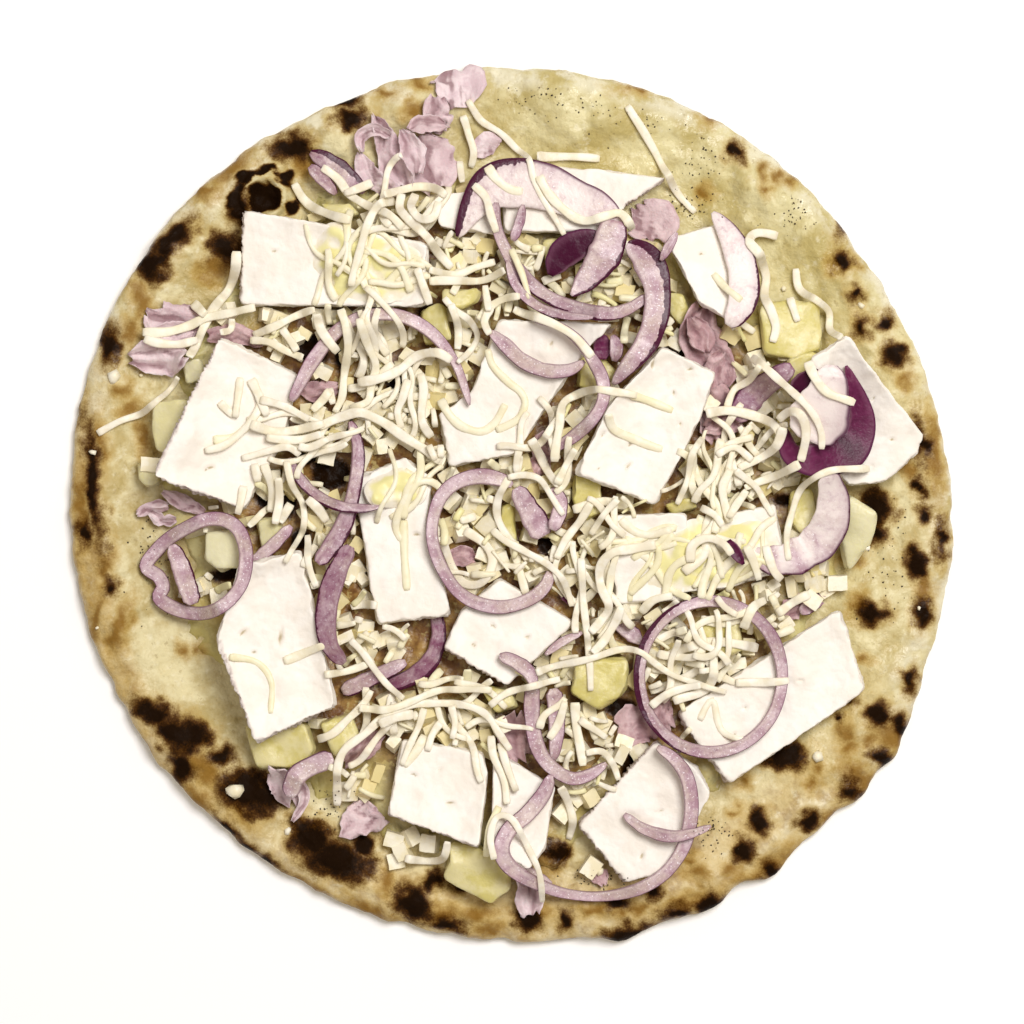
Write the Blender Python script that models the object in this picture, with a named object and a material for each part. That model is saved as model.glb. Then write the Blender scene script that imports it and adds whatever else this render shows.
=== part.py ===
"""A camembert pizza: thin baked dough, a bed of diced cheese, potato, ham, slices of camembert,
red onion and grated cheese. Metres, +Z up, origin at the centre of the underside."""

import math
import random

import bmesh
import bpy
import numpy as np

# Driving sizes
PIZZA_RADIUS = 0.159
RIM_HEIGHT = 0.0088
DOUGH_BED = 0.0046
CORE_EDGE = 0.0016
CORE_MIDDLE = 0.0042
CAMEMBERT_THICK = 0.0080
POTATO_THICK = 0.0105
HAM_THICK = 0.0014
HAM_WAVE = 0.0035
ONION_THICK = 0.0034
PETAL_THICK = 0.0026
SHRED_WIDTH = 0.0032
SHRED_THICK = 0.0026
DICE_SIDE = 0.0068
DICE_SUNK = 0.0011
DICE_PITCH = 0.0105
DICE_CLEAR = 0.005
DICE_TILT = 0.18
DICE_FIELD = 0.13

# Spacing of the points along a strip of onion and a strand of cheese
ONION_PITCH = 0.0075
SHRED_PITCH = 0.0088

# Fits between neighbours
GAP = 0.0004
SINK = 0.0007

# The layout below is read from a picture of the pizza: this many metres for each of its pixels,
# and the pixel over the middle of the pizza.
PIXEL = 0.00036
MIDDLE = (512, 505)

# Outline of the dough: bearing in degrees from +X, and radius
DOUGH_OUTLINE = [
    (0, 0.1595), (25, 0.1555), (38, 0.1548), (60, 0.1575), (90, 0.1580), (115, 0.1588),
    (135, 0.1612), (160, 0.1602), (180, 0.1598), (205, 0.1585), (225, 0.1570), (247, 0.1556),
    (265, 0.1570), (285, 0.1588), (300, 0.1605), (318, 0.1615), (335, 0.1612), (350, 0.1602),
]
# Charred lumps that stand out of the edge: bearing and half width in degrees
CHAR_LUMPS = [(285, 3.5), (296, 3), (305, 2.5), (320, 3), (326, 2.5), (331, 3)]
CHAR_LUMP_REACH = 0.0032
# Blisters on the bare rim: pixel, radius and height
BLISTERS = [
    ((580, 112), 0.016, 0.0045), ((868, 590), 0.014, 0.0035), ((262, 190), 0.012, 0.0040),
    ((325, 852), 0.012, 0.0030), ((760, 200), 0.014, 0.0030), ((120, 600), 0.012, 0.0025),
    ((900, 400), 0.010, 0.0020), ((180, 730), 0.011, 0.0025), ((720, 868), 0.012, 0.0025),
]
# Outline of the bed of diced cheese: bearing and radius
BED_OUTLINE = [
    (0, 0.121), (30, 0.118), (60, 0.108), (90, 0.110), (112, 0.136), (140, 0.130),
    (180, 0.125), (215, 0.128), (245, 0.130), (270, 0.129), (300, 0.124), (330, 0.129),
]

# Corner pixels of each slice of camembert
CAMEMBERT = [
    [(243, 210), (430, 245), (425, 308), (239, 306)],
    [(502, 161), (668, 177), (625, 207), (598, 233), (504, 233)],
    [(434, 195), (497, 190), (498, 235), (440, 228)],
    [(665, 240), (722, 222), (745, 300), (728, 320), (700, 306)],
    [(222, 337), (300, 375), (285, 440), (245, 510), (158, 478), (159, 466)],
    [(808, 358), (845, 337), (865, 365), (922, 435), (918, 452), (885, 482), (848, 486), (800, 440)],
    [(498, 320), (613, 324), (588, 348), (550, 402), (516, 454), (449, 468), (438, 415), (472, 392)],
    [(662, 347), (715, 373), (699, 420), (655, 506), (575, 474), (608, 405)],
    [(352, 480), (405, 457), (434, 478), (428, 520), (452, 615), (378, 625)],
    [(608, 515), (686, 513), (686, 600), (616, 604)],
    [(700, 520), (775, 503), (785, 570), (716, 592)],
    [(240, 565), (303, 550), (318, 620), (338, 705), (258, 742), (218, 640)],
    [(402, 738), (482, 751), (488, 772), (480, 846), (388, 814)],
    [(494, 748), (555, 787), (545, 848), (528, 868), (491, 846)],
    [(675, 713), (840, 608), (866, 690), (728, 785)],
    [(655, 740), (696, 765), (710, 792), (670, 870), (625, 883), (577, 825)],
    [(500, 577), (575, 622), (507, 686), (443, 648), (460, 612)],
]

# Corner pixels of each piece of potato
POTATO = [
    [(762, 305), (795, 298), (824, 318), (818, 352), (785, 362), (760, 350)],
    [(152, 402), (190, 398), (196, 430), (180, 462), (154, 450)],
    [(206, 532), (240, 528), (246, 560), (222, 574), (204, 560)],
    [(243, 724), (308, 722), (317, 748), (296, 768), (255, 768)],
    [(320, 722), (352, 712), (362, 742), (334, 758)],
    [(452, 840), (508, 852), (512, 888), (490, 904), (442, 880)],
    [(576, 660), (628, 656), (628, 690), (600, 712), (570, 694)],
    [(420, 310), (446, 304), (452, 340), (424, 346)],
    [(846, 492), (878, 512), (868, 545), (846, 572), (836, 530)],
    [(692, 624), (738, 618), (744, 650), (704, 662)],
]

# Corner pixels of each torn sheet of ham
HAM = [
    [(425, 68), (484, 65), (488, 80), (466, 96), (440, 112), (428, 100)],
    [(356, 120), (400, 100), (440, 118), (470, 150), (430, 186), (376, 176)],
    [(132, 305), (186, 302), (200, 340), (176, 378), (140, 364)],
    [(138, 490), (185, 486), (196, 512), (168, 526), (140, 516)],
    [(628, 205), (672, 202), (676, 232), (640, 242)],
    [(676, 310), (716, 304), (732, 350), (722, 398), (690, 372)],
    [(702, 382), (744, 376), (762, 412), (744, 448), (712, 436)],
    [(264, 765), (298, 762), (304, 790), (292, 818), (272, 802)],
    [(342, 806), (380, 802), (396, 822), (372, 842), (350, 838)],
    [(516, 872), (540, 870), (546, 896), (530, 914), (518, 902)],
    [(622, 708), (656, 706), (660, 738), (630, 744)],
]

# Each strip of red onion: name, width, thickness, whether it closes on itself, and its route
ONION_UNDER = [
    ("hook", 0.0052, ONION_THICK, False, [(434, 606), (438, 640), (420, 670), (388, 688), (345, 694)]),
]
ONION = [
    ("left_ring", 0.0046, ONION_THICK, True,
     [(143, 560), (162, 530), (200, 516), (236, 522), (250, 555), (236, 598), (200, 615), (162, 602)]),
    ("left_arc", 0.0044, ONION_THICK, False,
     [(300, 400), (318, 358), (350, 326), (400, 318), (440, 340), (462, 372), (468, 406)]),
    ("left_bar", 0.0044, ONION_THICK, False, [(350, 424), (357, 466), (345, 516), (324, 560)]),
    ("left_curve", 0.0040, ONION_THICK, False, [(290, 460), (304, 484), (336, 504), (384, 508)]),
    ("left_strap", 0.0066, ONION_THICK, False, [(346, 546), (328, 590), (326, 632), (340, 662)]),
    ("centre_ring", 0.0047, ONION_THICK, False,
     [(505, 478), (468, 475), (438, 498), (430, 536), (446, 582), (500, 609), (538, 592), (551, 570)]),
    ("centre_piece", 0.0090, PETAL_THICK, False, [(520, 492), (534, 528), (562, 508)]),
    ("top_slice", 0.0110, PETAL_THICK, False,
     [(462, 236), (474, 194), (506, 166), (548, 170), (590, 190), (624, 224)]),
    ("top_band", 0.0052, ONION_THICK, False, [(496, 208), (508, 254), (538, 292), (584, 316), (622, 316)]),
    ("top_limb", 0.0120, PETAL_THICK, False, [(618, 222), (602, 254), (566, 288)]),
    ("top_arc", 0.0070, ONION_THICK, False,
     [(630, 244), (660, 262), (668, 300), (656, 348), (618, 388)]),
    ("middle_oval", 0.0046, ONION_THICK, False,
     [(500, 326), (514, 350), (546, 370), (584, 358), (604, 392), (594, 430), (558, 456)]),
    ("right_crescent", 0.0070, ONION_THICK, False, [(718, 214), (742, 248), (752, 282), (734, 328)]),
    ("right_petal", 0.0200, PETAL_THICK, False, [(812, 372), (836, 410), (838, 452)]),
    ("right_arc", 0.0100, PETAL_THICK, False,
     [(836, 480), (846, 512), (828, 556), (786, 574), (734, 548)]),
    ("right_ring", 0.0044, ONION_THICK, True,
     [(712, 605), (762, 626), (783, 676), (762, 726), (712, 747), (662, 726), (641, 676), (662, 626)]),
    ("low_strap", 0.0060, ONION_THICK, False,
     [(500, 658), (530, 676), (530, 728), (546, 768), (580, 782), (606, 764)]),
    ("low_ring", 0.0052, ONION_THICK, False,
     [(690, 757), (696, 806), (674, 862), (622, 894), (562, 894), (510, 862), (512, 832), (552, 784)]),
    ("low_tail", 0.0046, ONION_THICK, False, [(624, 810), (660, 834), (706, 828)]),
]

# Routes of the longest strands of grated cheese
SHREDS = [
    [(294, 183), (310, 206), (352, 222)], [(325, 168), (342, 188), (405, 226)],
    [(403, 205), (414, 226), (450, 266)], [(467, 100), (505, 136), (535, 182), (565, 234)],
    [(628, 107), (650, 145), (695, 210)], [(430, 270), (462, 272), (490, 262)],
    [(540, 180), (560, 210), (615, 216)], [(776, 236), (748, 245), (766, 280), (774, 342)],
    [(795, 267), (804, 292), (830, 320), (838, 336)], [(750, 358), (772, 380), (820, 444)],
    [(705, 414), (736, 412), (778, 428)], [(700, 474), (722, 454), (750, 460)],
    [(860, 467), (810, 478), (786, 520), (787, 555)], [(237, 250), (228, 288), (195, 358)],
    [(145, 330), (195, 325), (245, 310)], [(97, 434), (145, 408), (175, 378)],
    [(255, 336), (300, 318), (330, 310)], [(205, 450), (236, 438), (260, 400)],
    [(245, 441), (300, 446)], [(345, 310), (350, 342), (335, 414)],
    [(357, 295), (374, 350), (366, 412)], [(360, 380), (420, 354), (452, 358)],
    [(320, 427), (365, 412), (440, 464)], [(440, 300), (476, 326), (455, 366)],
    [(410, 374), (402, 426)], [(486, 330), (490, 360), (524, 402), (492, 432)],
    [(518, 308), (570, 340), (592, 362)], [(620, 396), (565, 398), (552, 464)],
    [(512, 460), (546, 492), (566, 512)], [(540, 480), (502, 500), (520, 560), (522, 592)],
    [(620, 500), (588, 536)], [(575, 560), (582, 622), (590, 690)],
    [(660, 512), (672, 546), (604, 560), (606, 612), (590, 636)],
    [(540, 664), (620, 650), (665, 675), (702, 686)], [(490, 705), (522, 684), (562, 675)],
    [(670, 620), (702, 660), (716, 682)], [(665, 692), (715, 678), (786, 680)],
    [(720, 610), (765, 602), (802, 590)], [(465, 530), (490, 562), (466, 584), (440, 542)],
    [(350, 622), (372, 652), (406, 694)], [(335, 796), (360, 736), (420, 705), (486, 720), (510, 745)],
    [(360, 705), (420, 692), (490, 687)], [(425, 708), (418, 728), (398, 766)],
    [(405, 858), (444, 850), (448, 836)], [(493, 860), (494, 818), (524, 835), (540, 880)],
    [(590, 750), (612, 756), (620, 776)], [(560, 790), (572, 815), (570, 840)],
    [(628, 520), (652, 545), (700, 560), (726, 596)], [(690, 500), (726, 520), (748, 560), (790, 566)],
    [(330, 236), (352, 262), (346, 296)], [(372, 232), (390, 262), (392, 300)],
]

COLOURS = {
    "dough": (0.62, 0.53, 0.32, 1), "cheese": (0.88, 0.83, 0.62, 1),
    "camembert": (0.95, 0.93, 0.87, 1), "potato": (0.72, 0.66, 0.30, 1),
    "ham": (0.60, 0.42, 0.46, 1), "onion": (0.42, 0.22, 0.38, 1),
}
ROUGHNESS = {"dough": 0.8, "cheese": 0.5, "camembert": 0.6, "potato": 0.35, "ham": 0.4, "onion": 0.3}

random.seed(11)


def at(pixel):
    """The place on the pizza under a pixel."""
    return np.array([(pixel[0] - MIDDLE[0]) * PIXEL, (MIDDLE[1] - pixel[1]) * PIXEL])


def around(outline, bearing):
    """A smooth closed outline's radius at a bearing in degrees."""
    bearings = np.array([row[0] for row in outline], float)
    radii = np.array([row[1] for row in outline])
    spread = np.arange(-12, 13, 4)
    return float(np.mean(np.interp(bearing + spread, bearings, radii, period=360)))


def clear_scene():
    for old in list(bpy.data.objects):
        bpy.data.objects.remove(old, do_unlink=True)


def collection(name):
    made = bpy.data.collections.new(name)
    bpy.context.scene.collection.children.link(made)
    return made


def material(kind):
    made = bpy.data.materials.new(kind)
    made.use_nodes = True
    shader = made.node_tree.nodes["Principled BSDF"]
    shader.inputs["Base Color"].default_value = COLOURS[kind]
    shader.inputs["Roughness"].default_value = ROUGHNESS[kind]
    return made


def object_from(name, mesh, kind, home):
    made = bpy.data.objects.new(name, mesh)
    made.data.materials.append(material(kind))
    home.objects.link(made)
    return made


class Relief:
    """The height of what is already on the pizza, and which piece it is, on a grid over its plan."""

    cell = 0.001
    half = 0.185

    def __init__(self):
        count = int(2 * self.half / self.cell) + 1
        self.height = np.zeros((count, count))
        self.owner = np.full((count, count), "", dtype="U40")

    def cells(self, corners):
        """The cells whose centres lie under a triangle in plan, with its weights at each."""
        low = np.floor((corners[:, :2].min(axis=0) + self.half) / self.cell).astype(int)
        high = np.ceil((corners[:, :2].max(axis=0) + self.half) / self.cell).astype(int)
        column, row = np.meshgrid(np.arange(low[0], high[0] + 1), np.arange(low[1], high[1] + 1))
        x = column.ravel() * self.cell - self.half
        y = row.ravel() * self.cell - self.half
        a, b, c = corners[:, :2]
        area = (b[0] - a[0]) * (c[1] - a[1]) - (b[1] - a[1]) * (c[0] - a[0])
        if abs(area) < 1e-10:
            return None
        second = ((x - a[0]) * (c[1] - a[1]) - (y - a[1]) * (c[0] - a[0])) / area
        third = ((b[0] - a[0]) * (y - a[1]) - (b[1] - a[1]) * (x - a[0])) / area
        first = 1 - second - third
        inside = (first >= -1e-6) & (second >= -1e-6) & (third >= -1e-6)
        if not inside.any():
            return None
        weights = np.stack([first, second, third], axis=1)[inside]
        return row.ravel()[inside], column.ravel()[inside], weights

    def add(self, mesh, name):
        """Raises the grid to the top of a mesh."""
        mesh.calc_loop_triangles()
        points = np.array([v.co for v in mesh.vertices])
        for face in mesh.loop_triangles:
            corners = points[list(face.vertices)]
            found = self.cells(corners)
            if found is None:
                continue
            row, column, weights = found
            top = weights @ corners[:, 2]
            higher = top > self.height[row, column]
            self.height[row[higher], column[higher]] = top[higher]
            self.owner[row[higher], column[higher]] = name

    def support(self, host=""):
        """The lowest that the underside of a new piece may lie over each cell."""
        wide = self.height.copy()
        for axis in (0, 1):
            wide = np.maximum(wide, np.maximum(np.roll(wide, 1, axis), np.roll(wide, -1, axis)))
        wide += GAP
        if not host:
            return wide
        mine = self.owner == host
        for axis in (0, 1):
            mine = mine & np.roll(mine, 1, axis) & np.roll(mine, -1, axis)
        return np.where(mine, self.height - SINK, wide)

    def near(self, grid, place):
        column, row = np.round((np.asarray(place) + self.half) / self.cell).astype(int)
        return grid[row, column]

    def patch(self, grid, place, reach):
        """The square of cells within reach of a place."""
        column, row = np.round((np.asarray(place) + self.half) / self.cell).astype(int)
        cells = round(reach / self.cell)
        return grid[row - cells : row + cells + 1, column - cells : column + cells + 1]


def drape(relief, plan, faces, support, stiffness, rounds):
    """Lets a soft sheet down on a support: its height at each point, clear of all that is under it."""
    under = [relief.cells(plan[list(face)]) for face in faces]
    heights = np.array([relief.near(support, place) for place in plan])
    links = [set() for _ in plan]
    for face in faces:
        for corner in face:
            links[corner].update(face)
    for turn in range(rounds + 1):
        if turn:
            level = np.array([heights[list(link)].mean() for link in links])
            heights = heights + stiffness * (level - heights)
        rise = np.zeros(len(plan))
        for face, found in zip(faces, under):
            if found is None:
                continue
            row, column, weights = found
            short = float((support[row, column] - weights @ heights[list(face)]).max())
            for corner in face:
                rise[corner] = max(rise[corner], short)
        heights = heights + rise
    return heights


def lay_flat(relief, plan, faces, support):
    """Rests a stiff slab on a support: the plane whose middle lies lowest while it clears everything."""
    under = [found for found in (relief.cells(plan[list(face)]) for face in faces) if found]
    rows = np.concatenate([found[0] for found in under])
    columns = np.concatenate([found[1] for found in under])
    middle = plan.mean(axis=0)
    x = columns * relief.cell - relief.half - middle[0]
    y = rows * relief.cell - relief.half - middle[1]
    peaks = support[rows, columns]
    slope, step = np.zeros(2), 0.2
    best = (peaks - slope[0] * x - slope[1] * y).max()
    while step > 0.001:
        moved = False
        for way in ((1, 0), (-1, 0), (0, 1), (0, -1), (1, 1), (-1, -1), (1, -1), (-1, 1)):
            tried = slope + step * np.array(way)
            level = (peaks - tried[0] * x - tried[1] * y).max()
            if level < best - 1e-7 and abs(tried).max() < 0.45:
                slope, best, moved = tried, level, True
        if not moved:
            step /= 2
    return best + (plan - middle) @ slope


def sheet_mesh(name, plan, faces, edge, heights, thickness, inset=0.0):
    """A closed solid from a plan of triangles: an underside, a top, and a wall along its edge."""
    count = len(plan)
    thickness = np.broadcast_to(thickness, count)
    middle = plan.mean(axis=0)
    top = plan.copy()
    top[edge] = plan[edge] + (middle - plan[edge]) * inset
    points = [(*plan[i], heights[i]) for i in range(count)]
    points += [(*top[i], heights[i] + thickness[i]) for i in range(count)]
    shell = [tuple(reversed(face)) for face in faces]
    shell += [tuple(i + count for i in face) for face in faces]
    for here, following in zip(edge, edge[1:] + edge[:1]):
        shell.append((here, following, following + count, here + count))
    mesh = bpy.data.meshes.new(name)
    mesh.from_pydata(points, [], shell)
    return mesh


def rounded(corners, count, softness=0.16):
    """A closed outline through soft corners, evenly spaced, anticlockwise."""
    corners = np.array([at(pixel) for pixel in corners])
    turn = np.roll(corners, -1, axis=0)
    if (corners[:, 0] * turn[:, 1] - corners[:, 1] * turn[:, 0]).sum() < 0:
        corners = corners[::-1]
    dense = []
    for before, here, after in zip(np.roll(corners, 1, axis=0), corners, np.roll(corners, -1, axis=0)):
        start, end = here + (before - here) * softness, here + (after - here) * softness
        for t in (0, 0.25, 0.5, 0.75, 1):
            dense.append((1 - t) ** 2 * start + 2 * t * (1 - t) * here + t * t * end)
    return evenly(np.array(dense), count, closed=True)


def evenly(route, count, closed=False):
    """A route taken at evenly spaced places."""
    if closed:
        route = np.vstack([route, route[:1]])
    lengths = np.concatenate([[0], np.cumsum(np.linalg.norm(np.diff(route, axis=0), axis=1))])
    wanted = np.linspace(0, lengths[-1], count + (1 if closed else 0))
    if closed:
        wanted = wanted[:-1]
    return np.stack([np.interp(wanted, lengths, route[:, axis]) for axis in (0, 1)], axis=1)


def smooth_route(pixels, pitch, closed):
    """A smooth curve through pixels, as points about a pitch apart."""
    knots = np.array([at(pixel) for pixel in pixels])
    count = len(knots)
    dense = []
    for i in range(count if closed else count - 1):
        if closed:
            p = [knots[(i + k) % count] for k in (-1, 0, 1, 2)]
        else:
            p = [knots[max(0, i - 1)], knots[i], knots[i + 1], knots[min(count - 1, i + 2)]]
        for t in np.linspace(0, 1, 10, endpoint=False):
            dense.append(
                0.5 * (2 * p[1] + (p[2] - p[0]) * t + (2 * p[0] - 5 * p[1] + 4 * p[2] - p[3]) * t**2
                       + (3 * p[1] - 3 * p[2] + p[3] - p[0]) * t**3)
            )
    if not closed:
        dense.append(knots[-1])
    dense = np.array(dense)
    length = np.linalg.norm(np.diff(dense, axis=0), axis=1).sum()
    return evenly(dense, max(3 if not closed else 8, round(length / pitch) + 1), closed)


def ringed_plan(outline, shares):
    """Triangles that fill an outline: rings at shares of its size round a middle point."""
    count = len(outline)
    middle = outline.mean(axis=0)
    plan = [middle + (outline - middle) * share for share in (1, *shares)]
    faces = []
    for ring in range(len(shares)):
        for i in range(count):
            a, b = ring * count + i, ring * count + (i + 1) % count
            faces += [(a, b, b + count), (a, b + count, a + count)]
    last, centre = len(shares) * count, (len(shares) + 1) * count
    faces += [(last + i, last + (i + 1) % count, centre) for i in range(count)]
    return np.vstack([*plan, middle[None]]), faces, list(range(count))


def ribbon_plan(route, width, closed):
    """Triangles along a ribbon of even width, and the loops of its edges."""
    before = np.roll(route, 1, axis=0) if closed else np.vstack([route[:1], route[:-1]])
    after = np.roll(route, -1, axis=0) if closed else np.vstack([route[1:], route[-1:]])
    along = after - before
    along /= np.linalg.norm(along, axis=1)[:, None]
    left = np.stack([-along[:, 1], along[:, 0]], axis=1) * width / 2
    count = len(route)
    plan = np.vstack([route - left, route + left])
    faces = []
    for i in range(count if closed else count - 1):
        j = (i + 1) % count
        faces += [(i, j, j + count), (i, j + count, i + count)]
    return plan, faces


def ribbon_mesh(name, plan, faces, heights, thickness, closed):
    count = len(plan) // 2
    if not closed:
        edge = list(range(count)) + list(range(2 * count - 1, count - 1, -1))
        return sheet_mesh(name, plan, faces, edge, heights, thickness)
    both = 2 * count
    points = [(*plan[i], heights[i]) for i in range(both)]
    points += [(*plan[i], heights[i] + thickness) for i in range(both)]
    shell = [tuple(reversed(face)) for face in faces] + [tuple(i + both for i in face) for face in faces]
    for i in range(count):
        j = (i + 1) % count
        shell.append((i, j, j + both, i + both))
        shell.append((count + j, count + i, count + i + both, count + j + both))
    mesh = bpy.data.meshes.new(name)
    mesh.from_pydata(points, [], shell)
    return mesh


def make_dough(home, relief):
    """A turned disc whose rim is uneven, blistered and lumpy with char."""
    radius, rim, bed = PIZZA_RADIUS, RIM_HEIGHT, DOUGH_BED
    profile = [
        (0, 0), (0.94 * radius, 0), (0.985 * radius, 0.0008), (radius, 0.0032), (0.992 * radius, 0.0058),
        (0.972 * radius, 0.8 * rim), (0.945 * radius, 0.92 * rim), (0.905 * radius, 0.84 * rim),
        (0.86 * radius, 1.24 * bed), (0.80 * radius, bed), (0.5 * radius, bed), (0, bed),
    ]
    shape = bmesh.new()
    verts = [shape.verts.new((r, 0, z)) for r, z in profile]
    edges = [shape.edges.new(pair) for pair in zip(verts, verts[1:])]
    bmesh.ops.spin(
        shape, geom=verts + edges, axis=(0, 0, 1), cent=(0, 0, 0), steps=108, angle=2 * math.pi
    )
    bmesh.ops.remove_doubles(shape, verts=shape.verts, dist=1e-6)
    for vert in shape.verts:
        x, y, z = vert.co
        reach = math.hypot(x, y)
        if reach < 1e-6:
            continue
        bearing = math.degrees(math.atan2(y, x)) % 360
        share = reach / radius
        wanted = around(DOUGH_OUTLINE, bearing)
        edge = max(0, (share - 0.93) / 0.07)
        for centre, width in CHAR_LUMPS:
            away = (bearing - centre + 180) % 360 - 180
            wanted += CHAR_LUMP_REACH * edge * math.exp(-((away / width) ** 2))
        stretch = 1 + (wanted / radius - 1) * min(1, share)
        vert.co.x, vert.co.y = x * stretch, y * stretch
        if z > 0.003:
            place = np.array(vert.co[:2])
            for pixel, size, height in BLISTERS:
                far = np.linalg.norm(place - at(pixel)) / size
                vert.co.z += height * math.exp(-(far**2)) * min(1, max(0, (share - 0.78) / 0.05))
            on_rim = max(0, min(1, (share - 0.8) / 0.1))
            vert.co.z += 0.0011 * on_rim * math.sin(math.radians(7 * bearing)) * math.cos(
                math.radians(3 * bearing + 40)
            )
    bmesh.ops.recalc_face_normals(shape, faces=shape.faces)
    mesh = bpy.data.meshes.new("crust")
    shape.to_mesh(mesh)
    shape.free()
    relief.add(mesh, "crust")
    return object_from("crust", mesh, "dough", home)


def make_core(home, relief):
    """The mound of melted and diced cheese, bare: the toppings are fitted to it."""
    outline = []
    for bearing in range(0, 360, 9):
        turn = math.radians(bearing)
        reach = around(BED_OUTLINE, bearing) * (1 + 0.02 * math.sin(14.6 * turn))
        outline.append((reach * math.cos(turn), reach * math.sin(turn)))
    shares = (0.93, 0.8, 0.6, 0.35)
    plan, faces, edge = ringed_plan(np.array(outline), shares)
    heights = drape(relief, plan, faces, relief.support(), 0.5, 2)
    far = np.linalg.norm(plan, axis=1) / PIZZA_RADIUS
    thickness = CORE_EDGE + (CORE_MIDDLE - CORE_EDGE) * np.clip((0.84 - far) / 0.22, 0, 1)
    mesh = sheet_mesh("cheese_heap", plan, faces, edge, heights, thickness, inset=0.006)
    relief.add(mesh, "cheese_heap")
    return object_from("cheese_heap", mesh, "cheese", home)


def make_potato(home, relief):
    for number, corners in enumerate(POTATO, 1):
        name = f"potato_{number}"
        plan, faces, edge = ringed_plan(rounded(corners, 10, 0.3), (0.55,))
        heights = lay_flat(relief, plan, faces, relief.support())
        thickness = np.full(len(plan), POTATO_THICK * (0.85 + 0.3 * random.random()))
        thickness[edge] *= 0.72
        mesh = sheet_mesh(name, plan, faces, edge, heights, thickness, inset=0.14)
        relief.add(mesh, name)
        object_from(name, mesh, "potato", home)


def make_ham(home, relief):
    for number, corners in enumerate(HAM, 1):
        name = f"ham_{number}"
        plan, faces, edge = ringed_plan(rounded(corners, 14, 0.2), (0.66, 0.33))
        heights = drape(relief, plan, faces, relief.support(), 0.6, 3)
        folds = np.sin(plan[:, 0] * 620 + number) * np.cos(plan[:, 1] * 540 + 2 * number)
        heights = heights + HAM_WAVE * (0.5 + 0.5 * folds)
        mesh = sheet_mesh(name, plan, faces, edge, heights, HAM_THICK)
        relief.add(mesh, name)
        object_from(name, mesh, "ham", home)


def make_camembert(home, relief):
    for number, corners in enumerate(CAMEMBERT, 1):
        name = f"camembert_{number}"
        plan, faces, edge = ringed_plan(rounded(corners, 16, 0.1), (0.55,))
        support = relief.support()
        stiff = lay_flat(relief, plan, faces, support)
        soft = drape(relief, plan, faces, support, 0.5, 4)
        heights = np.maximum(stiff + 0.4 * (soft - stiff), soft)
        thickness = np.full(len(plan), CAMEMBERT_THICK)
        thickness[edge] -= 0.0006
        mesh = sheet_mesh(name, plan, faces, edge, heights, thickness, inset=0.03)
        relief.add(mesh, name)
        object_from(name, mesh, "camembert", home)


def make_onion(home, relief, strips):
    for label, width, thickness, closed, pixels in strips:
        name = f"onion_{label}"
        route = smooth_route(pixels, ONION_PITCH, closed)
        plan, faces = ribbon_plan(route, width, closed)
        heights = drape(relief, plan, faces, relief.support(), 0.6, 4)
        mesh = ribbon_mesh(name, plan, faces, heights, thickness, closed)
        relief.add(mesh, name)
        object_from(name, mesh, "onion", home)


def dice(relief):
    """Cheese dice on the bare bed, one to each cell of a loose lattice that no topping covers."""
    made = []
    rows = int(DICE_FIELD / DICE_PITCH)
    for row in range(-rows, rows + 1):
        for column in range(-rows, rows + 1):
            place = np.array([column + 0.5 * (row % 2), row * 0.87]) * DICE_PITCH
            place += [random.uniform(-0.2, 0.2) * DICE_PITCH, random.uniform(-0.2, 0.2) * DICE_PITCH]
            turn, tilt = random.uniform(0, math.pi), random.uniform(-DICE_TILT, DICE_TILT)
            free = (relief.patch(relief.owner, place, DICE_CLEAR) == "cheese_heap").all()
            if not free:
                continue
            level = relief.near(relief.height, place) + DICE_SIDE / 2 - DICE_SUNK
            bpy.ops.mesh.primitive_cube_add(
                size=DICE_SIDE, location=(*place, level), rotation=(tilt, 0.5 * tilt, turn)
            )
            cube = bpy.context.active_object
            bpy.ops.object.transform_apply(location=True, rotation=True, scale=True)
            made.append(cube)
    for cube in made:
        relief.add(cube.data, "cheese_heap")
    return made


def shreds(relief):
    """Strands of grated cheese draped last, each with the piece that it has melted on to."""
    made = []
    for number, pixels in enumerate(SHREDS, 1):
        route = smooth_route(pixels, SHRED_PITCH, False)
        plan, faces = ribbon_plan(route, SHRED_WIDTH, False)
        touched = [str(relief.near(relief.owner, place)) for place in route]
        hosts = [name for name in touched if name == "cheese_heap" or name.startswith("camembert")]
        if not hosts:
            continue
        host = "cheese_heap" if hosts.count("cheese_heap") > 1 else max(hosts, key=hosts.count)
        heights = drape(relief, plan, faces, relief.support(host), 0.35, 2)
        mesh = ribbon_mesh(f"shred_{number}", plan, faces, heights, SHRED_THICK, False)
        relief.add(mesh, host)
        made.append((host, bpy.data.objects.new(f"shred_{number}", mesh)))
    return made


def largest_body(mesh):
    """Keeps the largest connected shell, which drops scraps and fills sealed hollows."""
    shape = bmesh.new()
    shape.from_mesh(mesh)
    left = set(shape.verts)
    groups = []
    while left:
        start = left.pop()
        group, queue = {start}, [start]
        while queue:
            for edge in queue.pop().link_edges:
                for other in edge.verts:
                    if other not in group:
                        group.add(other)
                        queue.append(other)
        left -= group
        groups.append(group)
    groups.sort(key=len)
    for group in groups[:-1]:
        bmesh.ops.delete(shape, geom=list(group), context="VERTS")
    bmesh.ops.triangulate(shape, faces=shape.faces)
    shape.to_mesh(mesh)
    shape.free()


def is_closed(mesh):
    shape = bmesh.new()
    shape.from_mesh(mesh)
    whole = bool(shape.edges) and all(len(edge.link_faces) == 2 for edge in shape.edges)
    shape.free()
    return whole


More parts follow.
